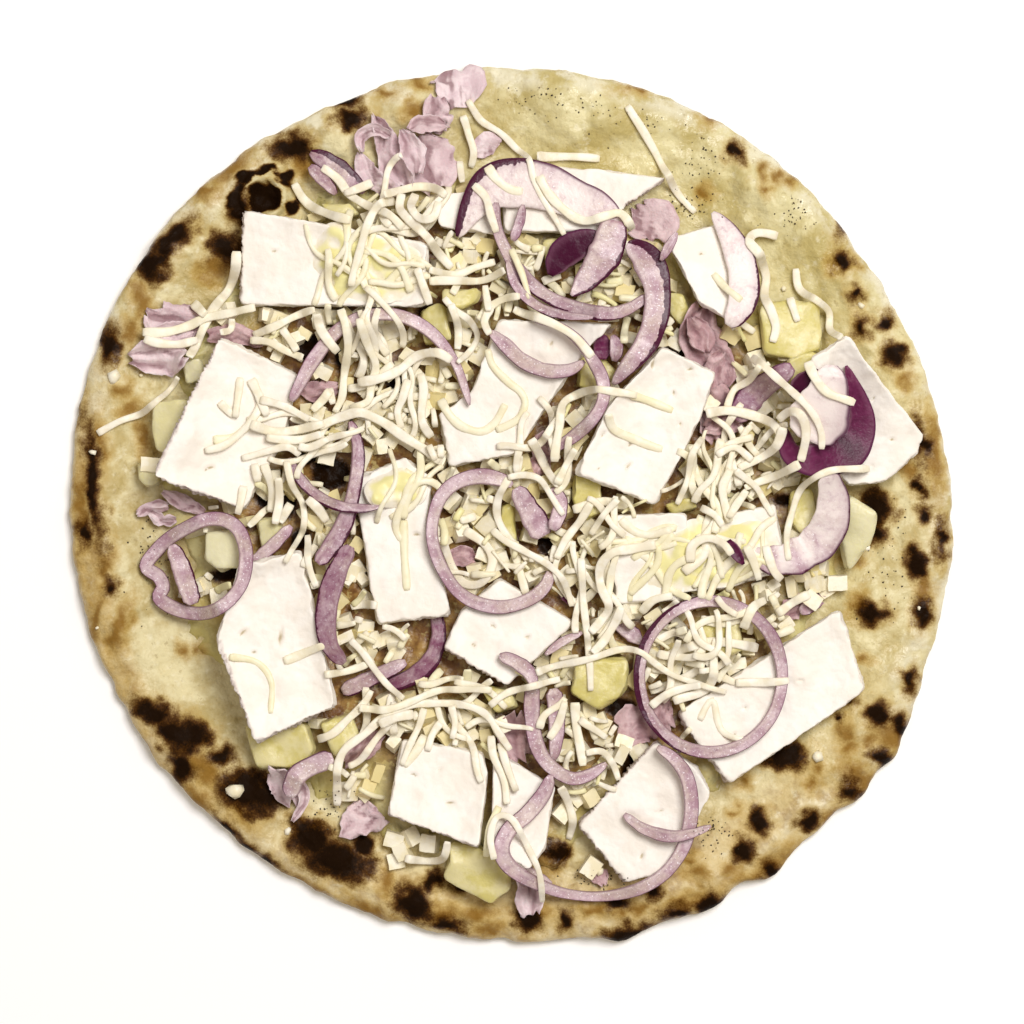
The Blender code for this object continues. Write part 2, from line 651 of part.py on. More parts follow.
def fuse(target, pieces):
    """Joins pieces to a target with one Boolean union, and removes them."""
    group = collection(target.name + "_pieces")
    for piece in pieces:
        for old in list(piece.users_collection):
            old.objects.unlink(piece)
        group.objects.link(piece)
    for solver in ("EXACT", "MANIFOLD"):
        union = target.modifiers.new("union", "BOOLEAN")
        union.operation, union.operand_type = "UNION", "COLLECTION"
        union.collection, union.solver = group, solver
        graph = bpy.context.evaluated_depsgraph_get()
        mesh = bpy.data.meshes.new_from_object(target.evaluated_get(graph))
        target.modifiers.remove(union)
        largest_body(mesh)
        if is_closed(mesh):
            break
    target.data = mesh
    for piece in pieces:
        bpy.data.objects.remove(piece, do_unlink=True)
    bpy.data.collections.remove(group)


def main():
    clear_scene()
    home = collection("camembert_pizza")
    relief = Relief()
    make_dough(home, relief)
    make_core(home, relief)
    make_potato(home, relief)
    make_ham(home, relief)
    make_onion(home, relief, ONION_UNDER)
    make_camembert(home, relief)
    make_onion(home, relief, ONION)
    fused = {"cheese_heap": dice(relief)}
    for host, strand in shreds(relief):
        fused.setdefault(host, []).append(strand)
    for host, pieces in fused.items():
        fuse(bpy.data.objects[host], pieces)


main()
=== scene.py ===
import math

import bmesh
import bpy
import numpy as np
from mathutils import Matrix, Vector


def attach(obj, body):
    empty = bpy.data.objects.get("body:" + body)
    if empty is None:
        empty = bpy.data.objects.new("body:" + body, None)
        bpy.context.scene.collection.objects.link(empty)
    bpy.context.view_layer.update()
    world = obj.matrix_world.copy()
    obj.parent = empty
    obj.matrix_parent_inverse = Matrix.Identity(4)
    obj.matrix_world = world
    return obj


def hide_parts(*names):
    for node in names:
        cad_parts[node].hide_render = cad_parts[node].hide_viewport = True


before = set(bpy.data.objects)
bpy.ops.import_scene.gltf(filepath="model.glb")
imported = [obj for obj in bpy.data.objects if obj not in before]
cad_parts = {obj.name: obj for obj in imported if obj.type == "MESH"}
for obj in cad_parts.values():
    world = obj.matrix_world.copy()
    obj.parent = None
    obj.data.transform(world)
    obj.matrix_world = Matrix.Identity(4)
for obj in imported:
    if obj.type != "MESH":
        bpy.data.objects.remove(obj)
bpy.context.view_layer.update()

# The dough. One thin disc of proved wheat dough, stretched by hand and baked on hot stone until its
# low rim blistered and charred in leopard spots. It is oily at the top right, where pepper lies on it,
# and browned along the bottom and the left edge. Its rim is paler, partly with painted highlights of
# wet bubbles, and lighter patches all over are painted highlights of oil.

# Places are read from a picture of the pizza: metres for each pixel, and the pixel over its middle
PIXEL = 0.00036
MIDDLE = (512, 505)


def at(x, y):
    """The place on the pizza under a pixel."""
    return np.array([(x - MIDDLE[0]) * PIXEL, (MIDDLE[1] - y) * PIXEL])


# A square grid over the plan, in metres: its cells, its half side and its points along a side
CELL = 0.0009
HALF = 0.1764
COUNT = round(2 * HALF / CELL) + 1
grid_x, grid_y = np.meshgrid(np.arange(COUNT) * CELL - HALF, np.arange(COUNT) * CELL - HALF)


def read(grid, x, y):
    """A grid over the pizza's plan, read between its cells."""
    column = np.clip((np.asarray(x) + HALF) / CELL, 0, COUNT - 1.001)
    row = np.clip((np.asarray(y) + HALF) / CELL, 0, COUNT - 1.001)
    c, r = column.astype(int), row.astype(int)
    u, v = column - c, row - r
    low = grid[r, c] * (1 - u) + grid[r, c + 1] * u
    high = grid[r + 1, c] * (1 - u) + grid[r + 1, c + 1] * u
    return low * (1 - v) + high * v


def unevenness(size, seed):
    """A smooth random field over the plan, of unit spread, with bumps of one size in metres."""
    noise = np.random.default_rng(seed).standard_normal((COUNT, COUNT))
    frequency = np.fft.fftfreq(COUNT, CELL)
    squared = frequency[:, None] ** 2 + frequency[None, :] ** 2
    smooth = np.fft.ifft2(np.fft.fft2(noise) * np.exp(-squared * (size * 1.3) ** 2)).real
    return smooth / smooth.std()


coarse = unevenness(size=0.009, seed=1)
middling = unevenness(size=0.0042, seed=2)
fine = unevenness(size=0.0018, seed=3)


def hump(value, middle, width):
    """1 at a middle value, falling away smoothly over a width on either side."""
    return np.exp(-(((value - middle) / width) ** 2))


def rise(value, start, width):
    """0 up to a start, then straight up to 1 over a width."""
    return np.clip((value - start) / width, 0, 1)


# The dough's outline, as bearing and radius; charred lumps on its edge, as bearing and half width
DOUGH_RADIUS = 0.159
DOUGH_OUTLINE = [
    (0, 0.1595), (25, 0.1555), (38, 0.1548), (60, 0.1575), (90, 0.1580), (115, 0.1588),
    (135, 0.1612), (160, 0.1602), (180, 0.1598), (205, 0.1585), (225, 0.1570), (247, 0.1556),
    (265, 0.1570), (285, 0.1588), (300, 0.1605), (318, 0.1615), (335, 0.1612), (350, 0.1602),
]
CHAR_LUMPS = [(285, 3.5), (296, 3), (305, 2.5), (320, 3), (326, 2.5), (331, 3)]
# How far a lump stands out, as a share of the radius
LUMP_REACH = 0.02


def around(outline, bearings):
    """A smooth closed outline's radius at each bearing in degrees."""
    knots = np.array(outline, float)
    spread = np.arange(-12, 13, 4)[:, None]
    return np.interp(np.asarray(bearings)[None] + spread, knots[:, 0], knots[:, 1], period=360).mean(axis=0)


# A burst blister: its middle, and how far out its black hole, torn lip, groove and charred ring lie, in
# pixels; then how deep the hole is, how high the lip and how deep the groove, in metres
BURST = (264, 196)
BURST_HOLE = 17
BURST_LIP = 19
BURST_GROOVE = 27
BURST_RING = 31
HOLE_DEPTH = 0.0045
LIP_RISE = 0.0014
GROOVE_DEPTH = 0.0012
# Blisters: pixel, radius and height. The first is the one that burst.
BLISTERS = [
    (262, 190, 0.0125, 0.0042), (580, 112, 0.016, 0.0045), (868, 590, 0.014, 0.0032),
    (325, 852, 0.012, 0.0030), (760, 200, 0.014, 0.0028), (120, 600, 0.012, 0.0022),
    (900, 400, 0.010, 0.0020), (180, 730, 0.011, 0.0025), (720, 868, 0.012, 0.0022),
    (540, 88, 0.008, 0.0018), (660, 120, 0.010, 0.0018), (820, 250, 0.009, 0.0018),
    (160, 250, 0.012, 0.0022), (245, 790, 0.009, 0.0022), (880, 700, 0.008, 0.0018),
    (90, 480, 0.008, 0.0018), (600, 920, 0.009, 0.0016), (480, 915, 0.008, 0.0015),
    (790, 755, 0.006, 0.0018), (880, 515, 0.007, 0.0016), (700, 100, 0.007, 0.0014),
    (130, 400, 0.010, 0.0014), (330, 120, 0.011, 0.0016), (205, 200, 0.008, 0.0014),
    (850, 640, 0.009, 0.0015), (800, 800, 0.008, 0.0013), (410, 900, 0.007, 0.0014),
]
# Char: pixel, half length and half width in pixels, and the turn of its long side in degrees
CHAR = [
    (238, 206, 8, 14, 0), (172, 240, 24, 9, 45), (152, 264, 17, 15, 40), (226, 248, 17, 15, 20),
    (290, 146, 18, 12, 10), (350, 116, 15, 10, 0), (343, 96, 10, 5, 0), (108, 346, 9, 17, 0),
    (92, 482, 5, 42, 8), (82, 532, 6, 10, 0), (111, 588, 4, 6, 0), (152, 712, 19, 11, -20),
    (178, 735, 21, 16, -40), (192, 736, 17, 11, 0), (180, 768, 12, 15, 20), (220, 757, 10, 6, 0),
    (250, 793, 33, 22, -12), (310, 840, 25, 20, -40), (338, 862, 33, 18, -15), (364, 843, 10, 10, 0),
    (412, 905, 16, 19, 30), (433, 884, 7, 9, -40), (462, 886, 12, 5, -20), (447, 924, 14, 6, -15),
    (528, 919, 12, 14, 0), (566, 920, 5, 7, 0), (617, 903, 9, 6, 0), (630, 938, 21, 9, 12),
    (655, 893, 7, 8, 0), (680, 914, 13, 4, 25), (713, 906, 13, 12, 20), (771, 873, 10, 8, 40),
    (557, 853, 12, 12, 0), (742, 851, 9, 8, 0), (761, 823, 11, 10, 0), (810, 823, 9, 8, 0),
    (786, 757, 20, 15, -5), (850, 705, 4, 3, 0), (840, 720, 2, 2, 0), (880, 715, 10, 11, 0),
    (912, 685, 6, 9, 0), (873, 614, 12, 11, 0), (922, 612, 10, 12, 0), (919, 563, 8, 14, 10),
    (877, 506, 14, 17, 40), (876, 532, 10, 10, 0), (926, 512, 6, 6, 0), (921, 485, 4, 6, 0),
    (944, 540, 4, 11, 0), (862, 326, 5, 7, 0), (886, 320, 6, 6, 0), (896, 354, 10, 10, 0),
    (922, 440, 5, 16, 10), (737, 152, 6, 7, 0), (905, 728, 9, 11, 60), (886, 761, 8, 12, 50),
    (851, 792, 8, 11, 40), (843, 262, 7, 8, 0), (857, 294, 5, 6, 0), (226, 829, 9, 3, -45),
    (246, 848, 10, 4, -38), (266, 864, 10, 4, -32), (844, 220, 3, 9, -20),
]
# Scorched brown without char; the spot at pixel (141, 436) is painted shadow beside a slice
TOAST = [
    (216, 268, 20, 14, 20), (385, 92, 10, 5, 10), (415, 110, 12, 12, 0), (420, 80, 9, 6, 0),
    (206, 192, 13, 9, 0), (130, 330, 11, 13, 0), (140, 300, 9, 22, 20), (98, 440, 8, 24, 8),
    (106, 570, 9, 26, -12), (118, 630, 10, 30, -20), (182, 652, 6, 6, 0), (196, 652, 6, 6, 0),
    (128, 408, 12, 7, 30), (120, 390, 9, 8, 0), (200, 762, 26, 12, -30), (386, 882, 10, 14, 0),
    (300, 820, 14, 8, 0), (478, 915, 24, 9, 10), (490, 930, 18, 7, 5), (540, 912, 14, 8, 0),
    (596, 912, 14, 6, 0), (622, 916, 8, 9, 0), (640, 908, 16, 8, 0), (700, 876, 15, 8, -10),
    (690, 860, 9, 6, 0), (732, 868, 9, 9, 0), (742, 782, 10, 8, 20), (815, 786, 7, 7, 0),
    (846, 735, 9, 16, 10), (850, 750, 8, 8, 0), (869, 740, 7, 6, 0), (862, 606, 12, 14, 0),
    (866, 660, 6, 6, 0), (912, 470, 10, 10, 0), (905, 380, 9, 9, 0), (765, 172, 6, 7, 0),
    (768, 188, 4, 5, 0), (778, 176, 5, 6, 0), (791, 179, 8, 6, 0), (703, 192, 7, 8, 0),
    (712, 118, 8, 6, 0), (640, 86, 14, 4, 0), (935, 455, 8, 40, 5), (925, 590, 9, 30, 0),
    (895, 740, 16, 30, 60), (862, 782, 14, 26, 50), (770, 868, 40, 12, 30), (690, 905, 36, 10, 22),
    (240, 846, 44, 8, -40), (305, 888, 44, 8, -28), (365, 910, 30, 8, -20), (440, 915, 26, 12, 0),
    (80, 510, 9, 54, 0), (545, 862, 18, 14, 0), (300, 160, 12, 16, 40), (95, 620, 8, 30, -16),
    (835, 820, 16, 10, 40), (820, 770, 8, 6, 0), (735, 812, 4, 4, 0), (850, 560, 12, 6, 0),
    (842, 262, 15, 14, 0), (856, 293, 10, 9, 0), (862, 323, 9, 11, 0), (232, 166, 26, 9, 40),
    # The first spot on this line is painted shadow beside a slice
    (141, 436, 8, 22, 8), (182, 600, 8, 8, 0), (206, 772, 18, 16, 0), (236, 812, 20, 8, -40),
    (196, 800, 20, 9, -45),
]


def spot_field(spots, x, y, edge):
    """How deep a place lies in its nearest spot: 1 at the middle, 0 at the rim, never below -edge."""
    deepest = np.full(np.shape(x), -float(edge))
    for px, py, long, short, turn in spots:
        middle, angle = at(px, py), math.radians(turn)
        dx, dy = x - middle[0], y - middle[1]
        along = (dx * math.cos(angle) + dy * math.sin(angle)) / (long * PIXEL)
        across = (dy * math.cos(angle) - dx * math.sin(angle)) / (short * PIXEL)
        outside = 1 - np.hypot(along, across)
        outside = np.where(outside < 0, outside * min(long, short) / 10, outside)
        deepest = np.maximum(deepest, outside)
    return deepest


def dough_marks(x, y):
    """How charred, toasted, oily and browned the dough is, and where its rim is paler with painted
    highlights.
    """
    ragged_x = x + 0.0009 * read(middling, x, y)
    ragged_y = y + 0.0009 * read(middling, -x, y)
    from_burst = np.hypot(ragged_x - at(*BURST)[0], 1.15 * (ragged_y - at(*BURST)[1])) / PIXEL
    ring = 0.9 + 0.7 * read(middling, y, x) - np.abs(from_burst - BURST_RING) / 3.5
    burst_char = np.maximum(ring, 6 - 6 * from_burst / BURST_HOLE)
    char = np.maximum(spot_field(CHAR, ragged_x, ragged_y, edge=2), burst_char)
    toast = np.maximum(spot_field(TOAST, ragged_x, ragged_y, edge=2), char + 0.35)
    bearing = np.degrees(np.arctan2(y, x))
    share = np.hypot(x, y) / DOUGH_RADIUS
    # Oil at the top right and a little at the lower right, browning along the bottom and the left edge
    oily = hump(bearing, 58, 44) + 0.5 * hump(bearing, -30, 25)
    left_edge = hump((bearing + 360) % 360, 195, 32) * rise(share, 0.91, 0.05)
    browned = np.clip(hump(bearing, -80, 50) * rise(share, 0.78, 0.12) + left_edge, 0, 1)
    toast = np.maximum(toast, 0.75 * left_edge - 0.9)
    # The rim's outer edge: paler dough, and there the colour also paints highlights of wet bubbles
    pale_highlit_rim = rise(share, 0.935, 0.03) * (1 - 0.7 * browned)
    return {"char": char, "toast": toast, "oily": np.clip(oily, 0, 1), "browned": browned, "pale_highlit_rim": pale_highlit_rim}


def evenly(route, pitch, closed=False):
    """A route taken again at even steps of about a pitch."""
    if closed:
        route = np.vstack([route, route[:1]])
    run = np.concatenate([[0], np.cumsum(np.linalg.norm(np.diff(route[:, :2], axis=0), axis=1))])
    count = max(3, round(run[-1] / pitch))
    wanted = np.linspace(0, run[-1], count + 1)[: count if closed else count + 1]
    return np.stack([np.interp(wanted, run, route[:, axis]) for axis in range(route.shape[1])], axis=1)


def softened(route, rounds):
    """Cuts the corners of an open route."""
    for _ in range(rounds):
        near = 0.75 * route[:-1] + 0.25 * route[1:]
        far = 0.25 * route[:-1] + 0.75 * route[1:]
        cut = np.stack([near, far], axis=1).reshape(-1, route.shape[1])
        route = np.vstack([route[:1], cut, route[-1:]])
    return route


# The rim in section, as share of the radius and height, from the inner edge over to the floor
BED_LEVEL = 0.0046
EDGE_LEVEL = 0.0034
RIM_TOP = [(0.70, BED_LEVEL), (0.80, BED_LEVEL), (0.86, 0.0057), (0.905, 0.0076), (0.945, 0.0083),
           (0.972, 0.0074), (0.994, 0.0062), (1.0, EDGE_LEVEL)]
RIM_UNDER = [(0.02, 0), (0.955, 0), (0.985, 0.0006), (0.998, 0.0024)]
DOUGH_STEPS = 760
bearings = np.linspace(0, 360, DOUGH_STEPS, endpoint=False)


def dough_rows(profile):
    """Rings of the dough's plan along a profile, with its outline, lumps and ragged edge."""
    share = profile[:, :1]
    edge = np.clip((share - 0.93) / 0.07, 0, None)
    reach = around(DOUGH_OUTLINE, bearings)[None] / DOUGH_RADIUS - 1
    for bearing, width in CHAR_LUMPS:
        away = (bearings - bearing + 180) % 360 - 180
        reach = reach + LUMP_REACH * edge * hump(away[None], 0, width)
    east, north = np.cos(np.radians(bearings)), np.sin(np.radians(bearings))
    edge_x, edge_y = 0.15 * east, 0.15 * north
    ragged = 0.0008 * read(fine, edge_x, edge_y) + 0.0028 * read(coarse, edge_x, edge_y)
    radius = share * (1 + reach * np.minimum(1, share) + edge * ragged[None]) * DOUGH_RADIUS
    height = np.broadcast_to(profile[:, 1:], radius.shape)
    return radius * east[None], radius * north[None], height


def disc(top, under):
    """A closed sheet from its rings of points, middle to edge, above and below."""
    steps = top.shape[1]
    points, faces, edges, start = [], [], [], 0
    for rows, way in ((top, 1), (under, -1)):
        index = start + np.arange(rows.shape[0] * steps).reshape(-1, steps)
        ahead = np.roll(index, -1, axis=1)
        quads = np.stack([index[:-1], index[1:], ahead[1:], ahead[:-1]], axis=-1).reshape(-1, 4)
        fan = np.stack([np.full(steps, start + index.size), index[0], ahead[0]], axis=-1)
        faces += quads[:, ::way].tolist() + fan[:, ::way].tolist()
        points += [rows.reshape(-1, 3), rows[0].mean(axis=0)[None]]
        edges += [index[-1], ahead[-1]]
        start += index.size + 1
    faces += np.stack([edges[0], edges[2], edges[3], edges[1]], axis=-1).tolist()
    return np.vstack(points), faces


# How high the rim waves, and how high char stands on the dough
WAVE_RISE = 0.0011
CHAR_RISE = 0.0005
metric = [DOUGH_RADIUS, 1]
rim = evenly(softened(np.array(RIM_TOP) * metric, rounds=3), pitch=0.0008) / metric
flat_middle = np.stack([np.linspace(0.02, 0.68, 12), np.full(12, BED_LEVEL)], axis=1)
x, y, z = dough_rows(np.vstack([flat_middle, rim]))
share = np.hypot(x, y) / DOUGH_RADIUS
waves = np.sin(np.radians(7 * bearings)) * np.cos(np.radians(3 * bearings + 40))
raised = WAVE_RISE * waves[None] * rise(share, 0.8, 0.1)
for px, py, size, height in BLISTERS:
    middle = at(px, py)
    raised = raised + height * np.exp(-(((x - middle[0]) ** 2 + (y - middle[1]) ** 2) / size**2))
raised = raised + 0.00055 * read(coarse, x, y) + 0.00028 * read(middling, x, y) + 0.0001 * read(fine, x, y)
dough_values = dough_marks(x, y)
deep_char = np.sqrt(np.clip(dough_values["char"], 0, 1))
raised = raised + CHAR_RISE * deep_char * (1 + 0.5 * read(fine, x, y))
# The burst blister: a sunk hole, a torn lip round it and a groove inside the charred ring
burst = np.hypot(x - at(*BURST)[0], y - at(*BURST)[1]) / PIXEL
raised = raised - HOLE_DEPTH * np.exp(-((burst / 15) ** 4)) + LIP_RISE * hump(burst, BURST_LIP, 3.5)
raised = raised - GROOVE_DEPTH * hump(burst, BURST_GROOVE, 4)
top_share = rise(z, EDGE_LEVEL, 0.002) * rise(share, 0.74, 0.05)
top = np.stack([x, y, z + top_share * raised], axis=-1)
under_x, under_y, under_z = dough_rows(np.array(RIM_UNDER))
points, faces = disc(top, np.stack([under_x, under_y, under_z], axis=-1))


def paint(red, green, blue):
    """A colour given as it shows on a screen, 0 to 255, made linear."""
    screen = [value / 255 for value in (red, green, blue)]
    return (*[v / 12.92 if v <= 0.04045 else ((v + 0.055) / 1.055) ** 2.4 for v in screen], 1)


def fill(node, sockets):
    """Links or sets a node's input sockets, by name or by number."""
    for key, value in sockets.items():
        if isinstance(value, bpy.types.NodeSocket):
            node.id_data.links.new(value, node.inputs[key])
        else:
            node.inputs[key].default_value = value
    return node


def add(tree, kind, sockets=None, **settings):
    """A shader node with its settings and its sockets."""
    made = tree.nodes.new("ShaderNode" + kind)
    for key, value in settings.items():
        setattr(made, key, value)
    return fill(made, sockets or {})


def mix(tree, factor, first, second):
    """The mix of two colours."""
    made = add(tree, "Mix", data_type="RGBA")
    return fill(made, {0: factor, 6: first, 7: second}).outputs[2]


def ramp(tree, value, low, high, least=0.0, most=1.0):
    """A least value below a low one, a most above a high one, smooth between."""
    sockets = {"Value": value, "From Min": low, "From Max": high, "To Min": least, "To Max": most}
    return add(tree, "MapRange", sockets, interpolation_type="SMOOTHSTEP").outputs["Result"]


def sum_of(tree, first, second):
    """The sum of two values."""
    return add(tree, "Math", {0: first, 1: second}, operation="ADD").outputs[0]


def product(tree, first, second):
    """The product of two values."""
    return add(tree, "Math", {0: first, 1: second}, operation="MULTIPLY").outputs[0]


def mark(tree, name):
    """A named value of the mesh's points."""
    return add(tree, "Attribute", attribute_name=name).outputs["Fac"]


def new_group(name, inputs, outputs):
    """A node group with named inputs and outputs, and its two end nodes."""
    tree = bpy.data.node_groups.new(name, "ShaderNodeTree")
    for label, kind, value in inputs:
        socket = tree.interface.new_socket(label, in_out="INPUT", socket_type="NodeSocket" + kind)
        socket.default_value = value
    for label, kind in outputs:
        tree.interface.new_socket(label, in_out="OUTPUT", socket_type="NodeSocket" + kind)
    return tree, tree.nodes.new("NodeGroupInput").outputs, tree.nodes.new("NodeGroupOutput")


def use(tree, group, sockets):
    """A group put to use in a material, as its outputs."""
    made = tree.nodes.new("ShaderNodeGroup")
    made.node_tree = group
    return fill(made, sockets).outputs


# Mottle: two colours in soft clouds of one size
mottle, given, result = new_group(
    "Mottle",
    [("First", "Color", (0, 0, 0, 1)), ("Second", "Color", (1, 1, 1, 1)), ("Scale", "Float", 100.0),
     ("Low", "Float", 0.4), ("High", "Float", 0.6)],
    [("Color", "Color"), ("Mask", "Float")],
)
place = add(mottle, "TexCoord").outputs["Object"]
cloud = add(mottle, "TexNoise", {"Vector": place, "Scale": given["Scale"], "Detail": 4.0, "Roughness": 0.6})
mask = ramp(mottle, cloud.outputs["Fac"], given["Low"], given["High"])
fill(result, {"Color": mix(mottle, mask, given["First"], given["Second"]), "Mask": mask})


def clouds(tree, scale, first, second, low=0.4, high=0.6):
    """Two screen colours in soft clouds of one size."""
    sockets = {"First": paint(*first), "Second": paint(*second), "Scale": scale, "Low": low, "High": high}
    return use(tree, mottle, sockets)["Color"]


def patches(tree, scale, low=0.4, high=0.6):
    """1 inside soft patches of one size and 0 between them."""
    return use(tree, mottle, {"Scale": scale, "Low": low, "High": high})["Mask"]


# Fine relief: small bumps of one size, as a normal
fine_relief, given, result = new_group(
    "Fine relief",
    [("Scale", "Float", 800.0), ("Depth", "Float", 0.0002), ("Strength", "Float", 0.5)],
    [("Normal", "Vector")],
)
place = add(fine_relief, "TexCoord").outputs["Object"]
grain = add(fine_relief, "TexNoise", {"Vector": place, "Scale": given["Scale"], "Detail": 3.0})
bump = add(fine_relief, "Bump", {"Strength": given["Strength"], "Distance": given["Depth"],
                                 "Height": grain.outputs["Fac"]})
fill(result, {"Normal": bump.outputs["Normal"]})


def relief(tree, scale, depth, strength):
    """A normal with small bumps of one size."""
    return use(tree, fine_relief, {"Scale": scale, "Depth": depth, "Strength": strength})["Normal"]


# Baking marks: soft brown scorching and black char laid over a base colour, with ragged edges
baking, given, result = new_group(
    "Baking marks",
    [("Base", "Color", (1, 1, 1, 1)), ("Char", "Float", 0.0), ("Toast", "Float", 0.0)],
    [("Color", "Color"), ("Black", "Float")],
)
place = add(baking, "TexCoord").outputs["Object"]
rag = add(baking, "TexNoise", {"Vector": place, "Scale": 300.0, "Detail": 5.0, "Roughness": 0.7})
grit = add(baking, "TexNoise", {"Vector": place, "Scale": 1500.0, "Detail": 2.0})
rag = product(baking, sum_of(baking, rag.outputs["Fac"], -0.5), 1.1)
rag = sum_of(baking, rag, product(baking, sum_of(baking, grit.outputs["Fac"], -0.5), 0.55))
toasted = sum_of(baking, given["Toast"], rag)
charred = sum_of(baking, given["Char"], rag)
colour = mix(baking, ramp(baking, toasted, -1.0, 0.2, 0.0, 0.75), given["Base"], paint(184, 152, 76))
colour = mix(baking, ramp(baking, toasted, -0.3, 0.8, 0.0, 0.8), colour, paint(126, 86, 18))
colour = mix(baking, ramp(baking, charred, -0.8, 0.15), colour, paint(80, 46, 2))
black = ramp(baking, charred, -0.2, 0.45)
colour = mix(baking, product(baking, black, 0.95), colour, paint(20, 8, 1))
fill(result, {"Color": colour, "Black": black})


def new_material(name, sockets):
    """A material with one Principled shader, some of its sockets set."""
    made = bpy.data.materials.new(name)
    made.use_nodes = True
    shader = made.node_tree.nodes["Principled BSDF"]
    return made, made.node_tree, fill(shader, sockets)


baked_dough, tree, shader = new_material("baked dough", {"Specular IOR Level": 0.4})
oily, browned = mark(tree, "oily"), mark(tree, "browned")
dry = clouds(tree, 75.0, (222, 211, 166), (188, 170, 114), 0.4, 0.64)
wet = clouds(tree, 60.0, (187, 171, 109), (219, 209, 160), 0.36, 0.62)
tan = clouds(tree, 130.0, (214, 192, 140), (148, 108, 58), 0.46, 0.68)
colour = mix(tree, ramp(tree, oily, 0.15, 0.8), dry, wet)
colour = mix(tree, ramp(tree, browned, 0.05, 0.9, 0.0, 0.8), colour, tan)
# The paler rim in patches: partly the dough's own colour, partly painted highlights of wet bubbles
rim_pale_and_highlit = product(tree, mark(tree, "pale_highlit_rim"), patches(tree, 110.0))
colour = mix(tree, product(tree, rim_pale_and_highlit, 0.75), colour, paint(232, 227, 202))
# Lighter patches all over the dough: painted highlights of oil
painted_oil_glints = patches(tree, 210.0, 0.56, 0.72)
colour = mix(tree, product(tree, painted_oil_glints, 0.5), colour, paint(240, 234, 204))
freckles = patches(tree, 430.0, 0.6, 0.7)
colour = mix(tree, product(tree, freckles, 0.35), colour, paint(140, 116, 62))
baked = use(tree, baking, {"Base": colour, "Char": mark(tree, "char"), "Toast": mark(tree, "toast")})
damp = ramp(tree, patches(tree, 55.0), 0.0, 1.0, 0.62, 0.4)
roughness = sum_of(tree, damp, ramp(tree, oily, 0.2, 0.9, 0.0, -0.12))
roughness = sum_of(tree, roughness, product(tree, rim_pale_and_highlit, -0.15))
roughness = sum_of(tree, roughness, product(tree, baked["Black"], 0.2))
skin = relief(tree, scale=560.0, depth=0.0008, strength=0.7)
shine = ramp(tree, mark(tree, "toast"), -0.9, 0.9, 0.4, 0.06)
fill(shader, {"Base Color": baked["Color"], "Roughness": roughness, "Specular IOR Level": shine,
              "Normal": skin})


def linked(name, mesh, material, node, marks):
    """Makes the object of a mesh, with named values at its points, and puts it in a node's place."""
    for label, values in marks.items():
        layer = mesh.attributes.new(label, "FLOAT", "POINT")
        layer.data.foreach_set("value", np.asarray(values, np.float32))
    mesh.shade_smooth()
    mesh.materials.clear()
    mesh.materials.append(material)
    made = bpy.data.objects.new(name, mesh)
    bpy.context.scene.collection.objects.link(made)
    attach(made, "root")
    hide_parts(node)
    return made


def piece(name, points, faces, material, node, marks):
    """An object from its points and faces."""
    mesh = bpy.data.meshes.new(name)
    mesh.from_pydata(np.asarray(points).tolist(), [], faces)
    return linked(name, mesh, material, node, marks)


# The two middle points and the rings under the dough take no marks
under_marks = np.full(len(RIM_UNDER) * DOUGH_STEPS + 2, -2.0)
dough_values = {label: np.concatenate([values.ravel(), under_marks])
                for label, values in dough_values.items()}
piece("dough", points, faces, baked_dough, "crust", dough_values)

# The bed. Mild cheese that has melted into the oiled dough in a low uneven skin, olive and half
# translucent at its edge and brown where it lies deep, farther in, where it shows only in the gaps
# between toppings; that brown is partly painted shade. Everything else is laid on it.

# The record of how high the pizza stands so far: each piece is laid on what it says, and raises it
ground = np.zeros((COUNT, COUNT))


def raise_ground(points):
    """Raises the record to these points."""
    column = np.clip(np.round((points[:, 0] + HALF) / CELL).astype(int), 0, COUNT - 1)
    row = np.clip(np.round((points[:, 1] + HALF) / CELL).astype(int), 0, COUNT - 1)
    np.maximum.at(ground, (row, column), points[:, 2])


def widened(grid):
    """Each cell takes the highest of those round it."""
    for axis in (0, 1):
        grid = np.maximum(grid, np.maximum(np.roll(grid, 1, axis), np.roll(grid, -1, axis)))
    return grid


raise_ground(points)
# The dough's flat middle has few points, so its cells are filled in
ground[np.hypot(grid_x, grid_y) < 0.76 * DOUGH_RADIUS] = BED_LEVEL

BED_OUTLINE = [
    (0, 0.116), (30, 0.116), (60, 0.108), (90, 0.110), (112, 0.136), (140, 0.130),
    (180, 0.122), (215, 0.122), (245, 0.127), (270, 0.127), (300, 0.120), (330, 0.122),
]
# How deep the bed is at its edge, and how much more farther in
BED_THIN = 0.0009
BED_DEEPER = 0.0030
BED_RINGS = 90
BED_STEPS = 400
BED_SHARES = np.linspace(0.02, 1, BED_RINGS)[:, None]
bearings = np.linspace(0, 360, BED_STEPS, endpoint=False)
east, north = np.cos(np.radians(bearings)), np.sin(np.radians(bearings))
reach = around(BED_OUTLINE, bearings) * (1 + 0.02 * np.sin(14.6 * np.radians(bearings)))
reach = reach * (1 + 0.02 * read(coarse, 0.12 * east, 0.12 * north))
x = BED_SHARES * (reach * east)[None]
y = BED_SHARES * (reach * north)[None]
depth = BED_THIN + BED_DEEPER * np.clip((0.86 - np.hypot(x, y) / DOUGH_RADIUS) / 0.24, 0, 1)
depth = depth + 0.0004 * read(coarse, x, y) + 0.0003 * read(middling, x, y) + 0.0001 * read(fine, x, y)
rounding = np.clip((1 - BED_SHARES) / 0.03, 0, 1) ** 0.5
dough_level = read(ground, x, y)
top = np.stack([x, y, dough_level + 0.0001 + np.maximum(depth, 0.0005) * rounding], axis=-1)
# The underside is hidden in the dough and needs three rings only
under = np.stack([x, y, dough_level - 0.0004], axis=-1)[[0, BED_RINGS // 2, BED_RINGS - 1]]
points, faces = disc(top, under)
